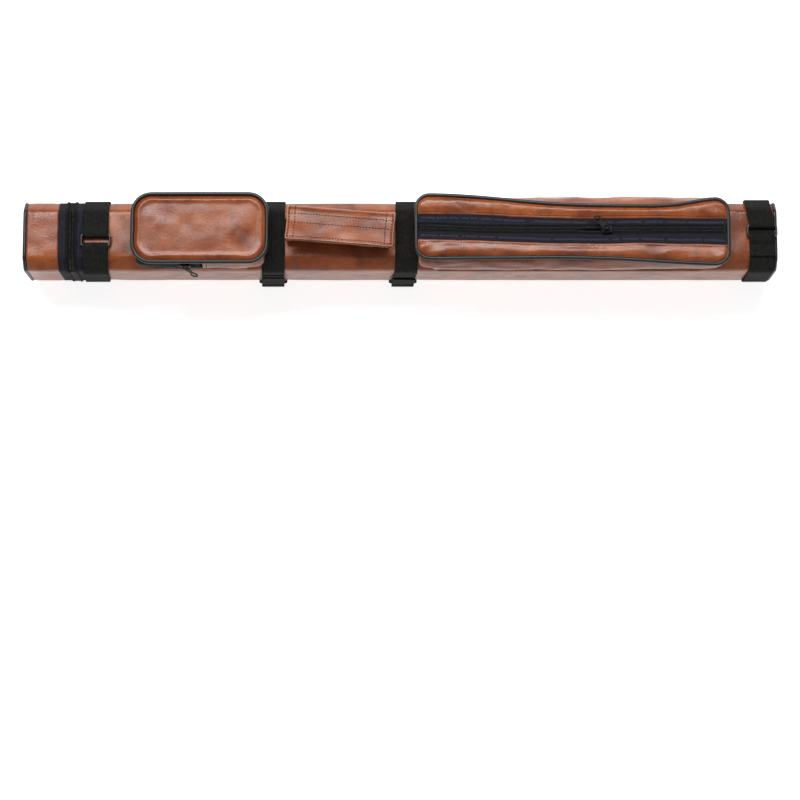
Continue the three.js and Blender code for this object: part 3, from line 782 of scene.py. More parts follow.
def cinch(name):
    """A strap round the body, its ring, and the tail folded back up the side."""
    x0 = CINCH_X[name]
    x = x0 + CINCH / 2
    profile = strap_profile(CINCH, WEB)
    points, normals = ring_path(WEB_OFF, x)
    slant = CINCH_LEAN[name]
    swept(f"{name}_cinch_webbing", lean(points, slant), normals, profile, "webbing", "case",
          closed=True, replaces=[f"{name}_cinch"])
    # a ring at the lower front corner, with the webbing folded round it and back up
    made = rect_ring(f"{name}_ring", x0 - slant - 3.3, x0 - slant + CINCH + 3.3, -5.2, 5.2, 0, 2.6,
                     "black_metal", None, (), 2.6)
    turn = Matrix.Rotation(math.radians(-58), 4, "X")
    at = Vector((0, -(HALF_W - 1.2) * MM, (UNDER + 4.6) * MM))
    made.data.transform(Matrix.Translation(at) @ turn)
    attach(made, "case")
    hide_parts(f"{name}_cinch_ring")
    side = -(HALF_W + TAIL_OFF)
    foot, top = 17.5, TAIL_TOP[name]
    tail = [Vector((x, side - 0.3, foot + (top - foot) * k / 12 + 2)) for k in range(13)]
    out = [Vector((0, -1, 0))] * len(tail)
    made = swept(f"{name}_tail", lean(tail, slant), out, profile, "webbing", None,
                 replaces=[f"{name}_cinch_tail"])
    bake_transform(made)
    loop = []
    for y, z in ((side - 0.3, foot + 2), (side - 1.2, foot - 2), (side - 1.9, 12.5),
                 (side - 0.2, 9.2), (side + 2.5, 8.0), (side + 5.4, 8.6), (side + 8.8, 11.0)):
        loop.append(Vector((x, y, z)))
    points = resample(smooth_line(loop), 1.3)
    normals = turn_normals(points, Vector((1, 0, 0)), Vector((0, -1, 0)))
    swept(f"{name}_tail_loop", lean(points, slant), normals, profile, "webbing", "case")
    if name == "front":  # hook tape that shows above the folded tail
        strip = [Vector((x, -(HALF_W + 2.15), top + d)) for d in (-6, -2, 2, 6, 10)]
        swept("front_hook_tape", lean(strip, slant), [Vector((0, -1, 0))] * 5,
              strap_profile(CINCH - 1.5, 1.0), "hook_tape", "case")


def smooth_line(points, rounds=3):
    """Chaikin's corner cutting, which keeps the ends."""
    for _ in range(rounds):
        out = [points[0]]
        for p, q in zip(points, points[1:]):
            out += [p.lerp(q, 0.25), p.lerp(q, 0.75)]
        points = out + [points[-1]]
    return points


def turn_normals(points, across, first):
    """Normals square to the line and to across, on the side that first looks to."""
    out, before = [], first
    for t in tangents(points, False):
        n = across.cross(t).normalized()
        if n.dot(before) < 0:
            n = -n
        out.append(n)
        before = n
    return out


make_materials()


# ---------------------------------------------------------------- pockets
OUTLINE_STEP = 2.2  # between the points of a pocket's outline


def pocket_outline(x0, x1, corner, upper, lower):
    """Closed outline on plan, anticlockwise. upper(x) and lower(x) give half widths."""
    path = []
    for cx, side, quarter in ((x1, -1, 3), (x1, 1, 0), (x0, 1, 1), (x0, -1, 2)):
        inward = corner if cx == x0 else -corner
        for k in range(9):
            a = (quarter + k / 8) * math.pi / 2
            half = (upper if side > 0 else lower)(cx + inward)
            path.append((cx + inward + corner * math.cos(a),
                         side * (half - corner) + corner * math.sin(a), k))
    full = []
    for i, (x, y, k) in enumerate(path):
        full.append(Vector((x, y, 0)))
        nx, _, nk = path[(i + 1) % len(path)]
        if nk == 0 and abs(nx - x) > 20:  # a long side: follow its half width
            half = upper if y > 0 else lower
            side = 1 if y > 0 else -1
            between = [x + (nx - x) * t / 40 for t in range(1, 40)]
            full += [Vector((at, side * half(at), 0)) for at in between]
    return resample(full, OUTLINE_STEP, closed=True)


def outward(points):
    """Normals on plan, away from the inside of an anticlockwise outline."""
    return [Vector((t.y, -t.x, 0)) for t in tangents(points, True)]


class Pocket:
    """The shapes that a pocket's pieces share."""

    def __init__(self, x0, x1, corner, upper, lower, foot, foot_half, bulge, seed, reach):
        self.outline = pocket_outline(x0, x1, corner, upper, lower)
        self.reach = reach  # half width to which the gusset bellies out where the front is narrow
        self.out = outward(self.outline)
        self.widest = max(abs(p.y) for p in self.outline)
        self.middle = (x0 + x1) / 2
        self.half = (x1 - x0) / 2
        self.foot = foot
        self.foot_half = foot_half
        self.bulge = bulge
        self.seed = seed
        self.corner = corner

    def pipe_point(self, i, inset=0.0):
        p = self.outline[i] - self.out[i] * (PIPE_R + inset)
        lift = wobble((p.x, p.y, 0), 70, self.seed) * 0.5
        return Vector((p.x, p.y, PANEL_Z + lift))

    def foot_point(self, i, spread=0.0):
        """Where the gusset meets the cover, moved out by spread over its surface."""
        p, n = self.outline[i], self.out[i]
        shorter = self.foot[0 if p.x < self.middle else 1]
        x = self.middle + (p.x - self.middle) * shorter
        y = math.copysign(self.foot_half, p.y) * (abs(p.y) / self.widest) ** 0.75
        if abs(p.x - self.middle) < self.half - self.corner:
            y = math.copysign(self.foot_half, p.y)
        y += n.y * spread * 0.75
        return Vector((x + n.x * spread, y, top_height(y) + 0.15))

    def wall_point(self, i, s):
        """On the gusset: s is 0 at the cover and 1 under the piping."""
        a, b = self.foot_point(i), self.pipe_point(i, 0.6)
        b.z -= PIPE_R * 0.7
        p = a.lerp(b, s)
        n = self.out[i]
        spare = max(self.reach - abs(a.lerp(b, 0.6).y) - self.bulge, 0.0)
        push = self.bulge + spare * smooth(0.45, 0.9, abs(n.y))
        belly = math.sin(math.pi * min(max(s, 0), 1)) ** 0.8
        fold = 1 - abs(wobble((p.x * 0.22, p.y * 0.22, p.z), 8, self.seed + 3)) * 3.0
        sag = wobble((p.x, p.y, p.z), 34, self.seed + 9)
        return p + n * (belly * (push + fold * 0.55 + sag * 1.1))

    def chosen(self, keep):
        """The outline's points that keep allows, as one run that starts after its gap."""
        count = len(self.outline)
        inside = [i for i in range(count) if keep is None or keep(self.outline[i])]
        if len(inside) == count:
            return inside
        gap = next(k for k, i in enumerate(inside) if (inside[k - 1] + 1) % count != i)
        return inside[gap:] + inside[:gap]

    def wall(self, name, s0, s1, rows, material, body, keep=None, thick=0.0, **extra):
        """A strip of the gusset between two heights, over the outline points that keep allows."""
        chosen = self.chosen(keep)
        closed = len(chosen) == len(self.outline)
        verts, uvs, run = [], [], 0.0
        levels = [s0 + (s1 - s0) * k / (rows - 1) for k in range(rows)]
        for k, i in enumerate(chosen):
            if k:
                run += (self.outline[i] - self.outline[chosen[k - 1]]).length
            for s in levels:
                verts.append(self.wall_point(i, s) + self.out[i] * thick)
                uvs.append((run * MM, s * 0.026))
        faces = quads(len(chosen), rows, wrap_rows=closed)
        if thick:  # turn both edges in
            base = len(verts)
            for i in chosen:
                for s in (s0, s1):
                    verts.append(self.wall_point(i, s) - self.out[i] * 0.6)
                    uvs.append((0.0, 0.0))
            total = len(chosen)
            for k in range(total if closed else total - 1):
                m = (k + 1) % total
                faces.append((k * rows, base + 2 * k, base + 2 * m, m * rows))
                faces.append((k * rows + rows - 1, m * rows + rows - 1, base + 2 * m + 1,
                              base + 2 * k + 1))
        return piece(name, verts, faces, material, body, uvs=uvs, **extra)

    def flange(self, name, width, body, **extra):
        """The gusset's sewn edge, lying on the cover."""
        verts = []
        spreads = (-1.0, 0.4, width * 0.4, width * 0.8, width, width + 0.2)
        lifts = (1.4, 0.85, 0.6, 0.6, 0.45, -0.5)
        for i in range(len(self.outline)):
            for spread, lift in zip(spreads, lifts):
                p = self.foot_point(i, spread)
                verts.append(p + UP * lift + self.out[i] * max(lift, 0) * 0.3)
        faces = quads(len(self.outline), len(spreads), wrap_rows=True)
        return piece(name, verts, faces, "leather", body, **extra)

    def flange_stitches(self, name, spread, body):
        places = []
        points = [self.foot_point(i, spread) + UP * 0.72 for i in range(len(self.outline))]
        line = resample(points, 3.0, closed=True)
        for p, t in zip(line, tangents(line, True)):
            side = abs(p.y) > HALF_W - CHAMFER
            n = Vector((0, math.copysign(1, p.y), 1)).normalized() if side else UP
            places.append((p, t, n))
        return beads(name, places, (1.1, 0.34, 0.3), "thread", body, slot="leatherette")

    def piping(self, name, body, **extra):
        points = [self.pipe_point(i) for i in range(len(self.outline))]
        return swept(name, points, [UP] * len(points), round_profile(PIPE_R), "piping", body,
                     closed=True, **extra)


def zipped(p):
    """The lid end of the small pocket, round which its zip runs."""
    return p.x < SPLIT_X


def plain(p):
    """The rest of the small pocket's wall, which is leatherette."""
    return p.x >= SPLIT_X


def small_pocket():
    pocket = Pocket(*SMALL_X, 23.0, lambda x: 40.4 + SMALL_SHIFT, lambda x: 40.4 - SMALL_SHIFT,
                    (0.9, 0.92), 34.0, 1.2, 1.0, 38.8)
    count = len(pocket.outline)
    pocket.flange("small_flange", 4.5, "case", replaces=["small_pocket_gusset"])
    pocket.flange_stitches("small_flange_stitches", 2.6, "case")
    pocket.wall("small_wall_foot", 0.0, 0.2, 5, "leather", "case", thick=0.5)
    pocket.wall("small_wall", 0.16, 1.0, 14, "leather", "case", keep=plain,
                thick=0.35)
    low = pocket.wall("small_tape_lower", 0.18, 0.50, 7, "chain_tape", "case", keep=zipped,
                      thick=0.1)
    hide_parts("small_zip_tape_lower")
    pocket.wall("small_chain_lower", 0.45, 0.585, 4, "chain_tape", "case", keep=zipped,
                thick=-0.45)
    upper = pocket.wall("small_tape_upper", 0.69, 1.0, 7, "chain_tape", None, keep=zipped,
                        thick=0.1)
    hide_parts("small_zip_tape_upper")
    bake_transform(upper)
    chain = pocket.wall("small_chain_upper", 0.595, 0.74, 4, "chain_tape", None, keep=zipped,
                        thick=-0.45)
    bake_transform(chain)

    inside = pocket.chosen(zipped)
    chain_line = [pocket.wall_point(i, 0.59) for i in inside]
    chain_out = [pocket.out[i] for i in inside]
    # the outline runs anticlockwise, so the lower half of the chain is to its right
    coil("small_coil_lower", chain_line, chain_out, 1, "case", -0.35, 1.7, 1.1, 1.5)
    top = coil("small_coil_upper", chain_line, chain_out, -1, None, -0.35, 1.7, 1.1, 1.5)
    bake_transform(top)
    lines = [([pocket.wall_point(i, s) + pocket.out[i] * 0.2 for i in inside], chain_out)
             for s in (0.235, 0.47)]
    stitches("small_tape_stitches", lines, "case", "thread_black", 2.4, slot="zip_tape")
    hem = [([pocket.wall_point(i, 0.1) + pocket.out[i] * 0.55 for i in range(count)], pocket.out)]
    stitches("small_hem_stitches", hem, "case", slot="leatherette")
    ends = []
    for side in (1, -1):
        for at in (SPLIT_X + 2.2, SPLIT_X + 5.4):
            i = min(range(count), key=lambda k: abs(pocket.outline[k].x - at)
                    + (0 if pocket.outline[k].y * side > 0 else 999))
            ends.append(([pocket.wall_point(i, 0.2 + 0.75 * k / 8) + pocket.out[i] * 0.45
                          for k in range(9)], [pocket.out[i]] * 9))
    stitches("small_end_stitches", ends, "case", slot="leatherette")

    pipe = pocket.piping("small_piping", None, replaces=["small_piping_front",
                                                         "small_piping_flap"])
    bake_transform(pipe)
    front = padded_front("small_front", pocket, ["small_pocket_front", "small_pocket_flap"])
    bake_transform(front)
    lining("small_lining", pocket, "case")


def padded_front(name, pocket, replaces):
    """A padded leatherette front: it rises from the piping to a ridge, then runs nearly flat."""
    start, end = pocket.middle - pocket.half + 40, pocket.middle + pocket.half - 40
    rings = 26
    edges = [pocket.pipe_point(i, PIPE_R * 0.6) for i in range(len(pocket.outline))]
    verts = []
    for k in range(rings + 1):
        share = 0.985 * (k / rings) ** 1.25
        for edge in edges:
            core = Vector((min(max(edge.x, start), end), 0, PANEL_Z))
            p = edge.lerp(core, share)
            d = (core - edge).length * share
            ridge = 0.8 * math.exp(-((d - 5.5) / 2.6) ** 2)
            rise = 1.9 * smooth(0, 5.0, d) + ridge + 0.6 * smooth(6, 34, d)
            soft = wobble((p.x, p.y, 0), 30, 4.0) * 0.5 + wobble((p.x, p.y, 0), 12, 6.0) * 0.12
            verts.append(Vector((p.x, p.y, p.z - 0.8 + rise + soft * smooth(0, 7, d))))
    faces = quads(rings + 1, len(edges), wrap_columns=True)
    faces += close_slot(verts, rings * len(edges))
    made = piece(name, verts, faces, "leather", None, replaces=replaces)
    return made


def lining(name, pocket, body):
    """The pocket's cloth floor, seen when it is open."""
    feet = [pocket.foot_point(i, -2.0) + UP * 0.7 for i in range(len(pocket.outline))]
    rings = 5
    verts = []
    for k in range(rings + 1):
        share = 1 - 0.96 * k / rings
        verts += [Vector((pocket.middle + (p.x - pocket.middle) * share, p.y * share,
                          TOP + 0.5 if k else p.z)) for p in feet]
    piece(name, verts, disc(rings + 1, len(feet)), "liner", body)


# ---------------------------------------------------------------- long pocket
# half widths of the long pocket's front along x, on its two sides
LONG_UPPER = [(18, 41.5), (50, 41.3), (90, 38.6), (130, 34.6), (176, 30.8), (230, 29.3),
              (290, 29.0), (315, 31.5), (340, 36.8), (363, 38.0)]
LONG_LOWER = [(18, 34.6), (60, 34.2), (176, 33.2), (230, 34.4), (260, 35.9), (290, 38.0),
              (338, 40.6), (363, 41.0)]
# the long zip's tape: its two edges and its chain
TAPE_UPPER = [(18, 18.0), (60, 17.4), (100, 16.2), (150, 13.6), (215, 12.4), (265, 13.2),
              (310, 12.6), (363, 12.4)]
TAPE_LOWER = [(18, 11.2), (60, 12.0), (100, 13.4), (150, 15.2), (215, 15.9), (265, 15.3),
              (310, 16.6), (363, 17.6)]


def table(rows, x):
    """Reads a table of (x, value) with a soft curve through it."""
    def corner(x):
        for (xa, a), (xb, b) in zip(rows, rows[1:]):
            if x <= xb:
                return a + (b - a) * (max(x, xa) - xa) / (xb - xa)
        return rows[-1][1]
    return sum(corner(x + d) for d in (-16, -8, 0, 8, 16)) / 5


def long_half(side):
    return lambda x: table(LONG_UPPER if side > 0 else LONG_LOWER, x)


def chain_y(x):
    """The chain drifts towards +y at the lid end."""
    return 2.6 * smooth(105, 22, x)


def lip_weight(x, y, side):
    """How much of the lips' turn the front takes at (x, y)."""
    along = smooth(24, 60, x) * (1 - smooth(160, 212, x))
    outer = edge_inside(x, long_half(side))
    return along * smooth(outer - 0.5, outer - 8, abs(y))


def bend_lip(obj, side):
    """Bakes obj's placement into its mesh and works out how much of one lip's turn each of its points
    takes; the weights are not applied, so nothing bends.
    """
    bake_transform(obj)
    values = [lip_weight(v.co.x / MM, v.co.y / MM, side) for v in obj.data.vertices]


def tape_edge(x, side):
    """The zip tape's edge, with a little wander."""
    half = table(TAPE_UPPER if side > 0 else TAPE_LOWER, x)
    return side * (half + wobble((x, side * 9, 0), 30, 8.0) * 0.5)


def front_height(x, y, side, outer):
    """Height of the long front over the piping's middle, at (x, y)."""
    d = abs(outer - abs(y))
    t = min(d / max(outer - abs(tape_edge(x, side)), 1.0), 1.0)
    puff = 1.9 * smooth(0, 4.5, d) + 0.8 * math.sin(math.pi * t)
    ends = min(smooth(110, 25, x) + smooth(262, 345, x), 1.0)
    crease = wobble((x * 0.7 + y * 1.1, y * 0.5 - x * 0.25, side * 3), 24, 12.0)
    ridge = 2.0 * math.exp(-(crease * 2.2) ** 2) - 0.9
    fine = wobble((x * 1.2 - y, y * 0.9, side * 5), 12, 17.0) * 0.25
    fold = (ridge * (0.3 + 0.7 * ends) + fine) * smooth(0.5, 7, d)
    return puff + fold + sag(x) * t + wobble((x, y, 0), 45, 3.0) * 0.5


def strip_height(x, y, side, outer, inner):
    """Height of the leatherette, which comes down on the tape at inner."""
    near = smooth(8, 0, y - inner)
    return front_height(x, y, side, outer) * (1 - near) + (tape_height(x) + 0.75) * near


def sag(x):
    """The middle of the long front lies a little lower than its ends."""
    return -1.2 * smooth(60, 190, x) * smooth(320, 190, x)


def tape_height(x):
    """Height of the long zip over the piping's middle."""
    return 1.35 + sag(x) + wobble((x, 0, 0), 60, 21.0) * 0.35


def long_pocket():
    upper, lower = long_half(1), long_half(-1)
    pocket = Pocket(*LONG_X, LONG_CORNER, upper, lower, (0.94, 0.92), 35.4, 1.6, 5.0, 39.4)
    pocket.flange("long_flange", 5.2, "case", replaces=["long_pocket_gusset"])
    pocket.flange_stitches("long_flange_stitches", 3.4, "case")
    pocket.wall("long_wall", 0.0, 1.0, 20, "leather", "case", thick=0.2)
    pocket.piping("long_piping", "case", replaces=["long_pocket_piping"])
    lining("long_lining", pocket, "case")
    x0, x1 = LONG_X[0] + PIPE_R * 1.2, LONG_X[1] - PIPE_R * 1.2
    xs = [x0 + (x1 - x0) * i / 250 for i in range(251)]
    for side, half, body in ((1, upper, "upper"), (-1, lower, "lower")):
        leather_strip(side, half, xs, body)
        zip_half(side, xs, body)
    zip_stop(xs)


def edge_inside(x, half):
    """The front's own edge at x: the half width, rounded off at the ends."""
    x0, x1 = LONG_X
    corner = LONG_CORNER
    room = min(x - x0, x1 - x)
    if room >= corner:
        return half(x) - PIPE_R * 1.6
    across = corner - math.sqrt(max(corner ** 2 - (corner - room) ** 2, 0.0))
    inner = half(x0 + corner) if x < 190 else half(x1 - corner)
    return max(inner - PIPE_R * 1.6 - across, 9.0)


def leather_strip(side, half, xs, body):
    """The leatherette between the piping and the zip, with its folded edge on the tape."""
    columns = 18
    verts, line = [], []
    for x in xs:
        inner = abs(tape_edge(x, side))
        outer = max(edge_inside(x, half), inner - 2.0)
        flat = smooth(-2, 5, min(x - xs[0], xs[-1] - x))
        for k in range(columns + 1):
            y = outer + (inner - outer) * k / columns
            lift = strip_height(x, y, side, outer, inner)
            verts.append(Vector((x, side * y, PANEL_Z + 0.3 + lift * flat)))
        verts.append(Vector((x, side * (inner - 0.5), PANEL_Z + tape_height(x) - 0.1)))
        seam = inner + 2.2
        if outer > seam + 1 and xs[2] < x < xs[-3]:
            line.append(Vector((x, side * seam,
                                PANEL_Z + 0.55 + strip_height(x, seam, side, outer, inner) * flat)))
    made = piece(f"long_front_{body}", verts, quads(len(xs), columns + 2), "leather", None)
    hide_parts(f"long_lip_{body}", "long_pocket_front")
    bend_lip(made, side)
    sewn = stitches(f"long_front_stitches_{body}", [(line, [UP] * len(line))], None,
                    pitch=3.0, slot="leatherette")
    bend_lip(sewn, side)


def slit(x):
    """Half the gap between the two halves of the long zip, open just behind the slider."""
    return 0.12 + 1.0 * smooth(192, 214, x) * (1 - smooth(220, 224, x))


CHAIN_HALF = 5.4  # long zip, from its middle to the fold in its tape


def zip_half(side, xs, body):
    """Tape, folded edge and coil of one half of the long zip."""
    verts, uvs = [], []
    columns = 12
    for x in xs:
        inner = chain_y(x) + side * (CHAIN_HALF + slit(x) * 0.4)
        outer = tape_edge(x, side) + side * 1.4
        for k in range(columns + 1):
            y = inner + (outer - inner) * k / columns
            d = abs(y - inner)
            hem = 0.45 * math.exp(-((d - 0.9) / 0.8) ** 2)
            ripple = wobble((x, y * 1.5, side), 8, 31.0) * 0.3
            verts.append(Vector((x, y, PANEL_Z + tape_height(x) + hem + ripple)))
            uvs.append((x * MM, y * MM))
    tape = piece(f"long_tape_{body}", verts, quads(len(xs), columns + 1), "tape", None,
                 uvs=uvs)
    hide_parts(f"long_zip_tape_{body}")
    bend_lip(tape, side)
    verts, uvs = [], []
    for x in xs:
        for k in range(7):
            y = 0.25 + (CHAIN_HALF + 0.5 - 0.25) * k / 6
            crown = -0.75 + 0.95 * smooth(3.2, CHAIN_HALF, y)
            verts.append(Vector((x, chain_y(x) + side * (y + slit(x)),
                                 PANEL_Z + tape_height(x) + crown)))
            uvs.append((x * MM, y * MM))
    chain = piece(f"long_chain_{body}", verts, quads(len(xs), 7), "chain_tape", None,
                  uvs=uvs)
    bend_lip(chain, side)
    line = [Vector((x, chain_y(x) + side * slit(x), PANEL_Z + tape_height(x) - 0.1))
            for x in xs[3:-3]]
    made = coil(f"long_coil_{body}", line, [UP] * len(line), -side, None, 0.0, 1.9, 1.35, 1.9)
    bend_lip(made, side)
    tape_marks(side, xs[4:-4], body)


def tape_marks(side, xs, body):
    """Zigzag and straight stitching along the tape."""
    height = [Vector((x, 0, PANEL_Z + tape_height(x) + 0.3)) for x in xs]
    edge = [p + Vector((0, tape_edge(x, side) - side * 1.5, 0)) for p, x in zip(height, xs)]
    hem = [p + Vector((0, chain_y(x) + side * (CHAIN_HALF + 1.1), 0)) for p, x in zip(height, xs)]
    sewn = stitches(f"long_tape_stitches_{body}", [(edge, [UP] * len(xs)), (hem, [UP] * len(xs))],
                    None, "thread_black", 3.0, slot="zip_tape")
    bend_lip(sewn, side)
    places = []
    for i, p in enumerate(resample(edge, 1.9)):
        if wobble((p.x, p.y, 0), 5, 50.0) < -0.3:
            continue
        toward = Vector((1.0, (1 if i % 2 else -1) * 1.8, 0))
        places.append((p + Vector((0, -side * 3.2, 0.12)), toward, UP))
    zigzag = beads(f"long_tape_zigzag_{body}", places, (1.5, 0.3, 0.34), "thread_blue", None,
                   slot="zip_tape")
    bend_lip(zigzag, side)


def zip_stop(xs):
    """A bar tack that ends the long zip at its base end."""
    x = xs[-1] - 3.5
    places = [(Vector((x, y, PANEL_Z + tape_height(x) + 0.3)), Vector((0, 1, 0)), UP)
              for y in (-4.5, -2.7, -0.9, 0.9, 2.7, 4.5)]
    beads("long_zip_stop", places, (1.0, 0.9, 0.5), "thread_black", "case", slot="zip_tape",
          replaces=["long_zip_tape_closed"])


# ---------------------------------------------------------------- sliders and pulls
def block(lo, hi):
    """A box between two corners, as points and faces."""
    x0, y0, z0 = lo
    x1, y1, z1 = hi
    verts = [(x, y, z) for x in (x0, x1) for y in (y0, y1) for z in (z0, z1)]
    faces = [(0, 1, 3, 2), (4, 6, 7, 5), (0, 4, 5, 1), (2, 3, 7, 6), (0, 2, 6, 4), (1, 5, 7, 3)]
    return verts, faces


def plate(outline, z0, z1):
    """An outline on plan, thickened from z0 to z1."""
    count = len(outline)
    verts = [(x, y, z) for z in (z0, z1) for x, y in outline]
    faces = [tuple(reversed(range(count))), tuple(range(count, 2 * count))]
    faces += [(k, (k + 1) % count, count + (k + 1) % count, count + k) for k in range(count)]
    return verts, faces


def annulus(cx, outer, inner, z0, z1):
    """A flat ring round (cx, 0)."""
    sides = 20
    verts, faces = [], []
    for r, z in ((outer, z0), (outer, z1), (inner, z1), (inner, z0)):
        verts += [(cx + r * math.cos(2 * math.pi * k / sides),
                   r * math.sin(2 * math.pi * k / sides), z) for k in range(sides)]
    for ring in range(4):
        for k in range(sides):
            a, b = ring * sides, ((ring + 1) % 4) * sides
            m = (k + 1) % sides
            faces.append((a + k, a + m, b + m, b + k))
    return verts, faces


def metal_part(name, shapes, matrix, material, body, replaces, bevel=0.25):
    """Joins simple shapes, rounds their edges and puts them in place."""
    verts, faces = [], []
    for v, f in shapes:
        start = len(verts)
        verts += [matrix @ Vector(p) for p in v]
        faces += [tuple(start + k for k in cell) for cell in f]
    made = piece(name, verts, faces, material, None)
    edge = made.modifiers.new("round", "BEVEL")
    edge.width = bevel * MM
    edge.segments = 2
    edge.limit_method = "ANGLE"
    edge.angle_limit = math.radians(40)
    shade = made.modifiers.new("shade", "WEIGHTED_NORMAL")
    shade.keep_sharp = True
    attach(made, body)
    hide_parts(*replaces)


def zip_slider(name, at, crown, travel, twist, body_slider, body_pull, material, tilt=0):
    """A slider with its pull. crown and travel are the directions its top and nose look in."""
    crown, travel = Vector(crown), Vector(travel)
    across = crown.cross(travel)
    turn = Matrix((travel, across, crown)).transposed().to_4x4()
    place = Matrix.Translation(Vector(at)) @ turn
    body = [(-6, -2.8), (-5.2, -3.4), (-1.5, -4.1), (3.2, -4.1), (5.6, -3.2), (6, -2.6), (6, 2.6),
            (5.6, 3.2), (3.2, 4.1), (-1.5, 4.1), (-5.2, 3.4), (-6, 2.8)]
    shapes = [plate(body, 0.0, 1.2), plate([(x * 0.8, y * 0.72) for x, y in body], 1.1, 1.9)]
    bridge = [(-2.9, 1.6), (-2.7, 4.2), (-1.9, 5.0), (1.9, 5.0), (2.7, 4.2), (2.9, 1.6),
              (1.9, 1.6), (1.7, 3.7), (1.3, 4.0), (-1.3, 4.0), (-1.7, 3.7), (-1.9, 1.6)]
    side = []
    for y in (-0.8, 0.8):
        side += [(x, y, z) for x, z in bridge]
    n = len(bridge)
    arch = [(k, k + 1, n + k + 1, n + k) for k in range(n - 1)] + [(n - 1, 0, n, 2 * n - 1)]
    arch += [(k, n - 1 - k, n - 2 - k, k + 1) for k in range(n // 2 - 1)]
    arch += [(n + k, n + k + 1, 2 * n - 2 - k, 2 * n - 1 - k) for k in range(n // 2 - 1)]
    shapes.append((side, arch))
    metal_part(f"{name}_slider", shapes, place, material, body_slider, [f"{name}_zip_slider"])
    swing = place @ Matrix.Translation((0, 0, 3)) @ Matrix.Rotation(math.radians(twist), 4, "Z")
    swing = swing @ Matrix.Rotation(math.radians(-tilt), 4, "Y")
    eye = [block((-0.5, -3.6, -0.5), (0.5, 3.6, 0.5)), block((-0.5, -3.6, -0.5), (5.5, -2.6, 0.5)),
           block((-0.5, 2.6, -0.5), (5.5, 3.6, 0.5))]
    neck = [(3.6, -3.6), (5.6, -3.5), (8.4, -2.6), (10.6, -2.3), (12.2, -2.6), (12.2, 2.6),
            (10.6, 2.3), (8.4, 2.6), (5.6, 3.5), (3.6, 3.6)]
    shapes = eye + [plate(neck, -0.45, 0.45), annulus(15, 4.5, 2.5, -0.6, 0.6)]
    metal_part(f"{name}_pull", shapes, swing, material, body_pull, [f"{name}_zip_pull"], 0.2)


def sliders():
    zip_slider("lid", (ZIP_X, HALF_W + 0.3, 38), (0, 1, 0), (0, 0, 1), 180, "lid_slider",
               "lid_pull", "gunmetal")
    zip_slider("small", (-237, -38.2, 106), (0, -1, 0), (1, 0, 0), -50, "small_slider",
               "small_pull", "black_metal", 22)
    zip_slider("long", (228, 0, 117.3), (0, 0, 1), (-1, 0, 0), -45, "long_slider", "long_pull",
               "black_metal")


# ---------------------------------------------------------------- handle
GRIP_X = (-126.5, -10.5)
FLAP_GROW = (-1.4, 3.0)  # how far the flap runs past the grip at each end
GRIP_Z = (92.0, 105.0)
GRIP_HALF = 17.0
GRIP_PLACE = Matrix.Translation((-68.5, 4.0, 0)) @ Matrix.Rotation(math.radians(-4.5), 4, "Z")
FLAP_LINE = [(20.8, 96.0), (21.6, 100.0), (20.6, 104.0), (17.0, 106.4), (12.0, 107.4),
             (4.0, 109.4), (-5.0, 111.8), (-12.0, 113.8), (-17.6, 115.3)]


def moved(matrix, points):
    """The points placed by a matrix."""
    return [matrix @ Vector(p) for p in points]


def handle():
    half = (GRIP_X[1] - GRIP_X[0]) / 2
    grip_roll(half)
    grip_flap(half)
    middle = (GRIP_Z[0] + GRIP_Z[1]) / 2
    arch = [(-half - 4.0, TOP + 1.1), (-half + 0.6, TOP + 1.8), (-half + 2.2, TOP + 5.5),
            (-half + 7, middle), (half - 7, middle), (half - 1.8, TOP + 5.5),
            (half - 0.2, TOP + 1.8), (half + 2.4, TOP + 1.1)]
    line = resample(smooth_line([Vector((x, 0, z)) for x, z in arch]), 1.5)
    normals = turn_normals(line, Vector((0, 1, 0)), UP)
    turn = GRIP_PLACE.to_3x3()
    made = swept("handle_web", moved(GRIP_PLACE, line), [turn @ n for n in normals],
                 strap_profile(18, 1.6), "webbing", None,
                 replaces=["handle_webbing"])
    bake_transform(made)


def grip_roll(half):
    """The padded leatherette grip: a soft flattened roll, open at its ends."""
    sides, rows = 40, 60
    middle = (GRIP_Z[0] + GRIP_Z[1]) / 2
    high = (GRIP_Z[1] - GRIP_Z[0]) / 2
    verts = []
    stations = [-half + 3.0] + [-half + 2 * half * i / rows for i in range(rows + 1)] + [half - 3.0]
    for i, x in enumerate(stations):
        inner = i in (0, len(stations) - 1)
        size = 0.72 if inner else 1.0
        for k in range(sides):
            a = 2 * math.pi * k / sides
            c, s = math.cos(a), math.sin(a)
            y = math.copysign(abs(c) ** 0.55, c) * GRIP_HALF
            z = math.copysign(abs(s) ** 0.75, s) * high
            soft = 1 + wobble((x, y * 1.5, z * 2), 22, 3.0) * 0.03
            verts.append(Vector((x, y * size * soft, middle + z * size * soft)))
    faces = quads(len(stations), sides, wrap_columns=True)
    made = piece("handle_grip_roll", moved(GRIP_PLACE, verts), faces, "leather", "handle",
                 replaces=["handle_grip"])
    y = -GRIP_HALF * 0.99 - 0.35
    line = [Vector((x, y, middle + 1.2)) for x in (-half + 2, 0, half - 2)]
    out = [GRIP_PLACE.to_3x3() @ Vector((0, -1, 0))] * 3
    stitches("handle_grip_stitches", [(moved(GRIP_PLACE, line), out)], "handle",
             slot="leatherette")


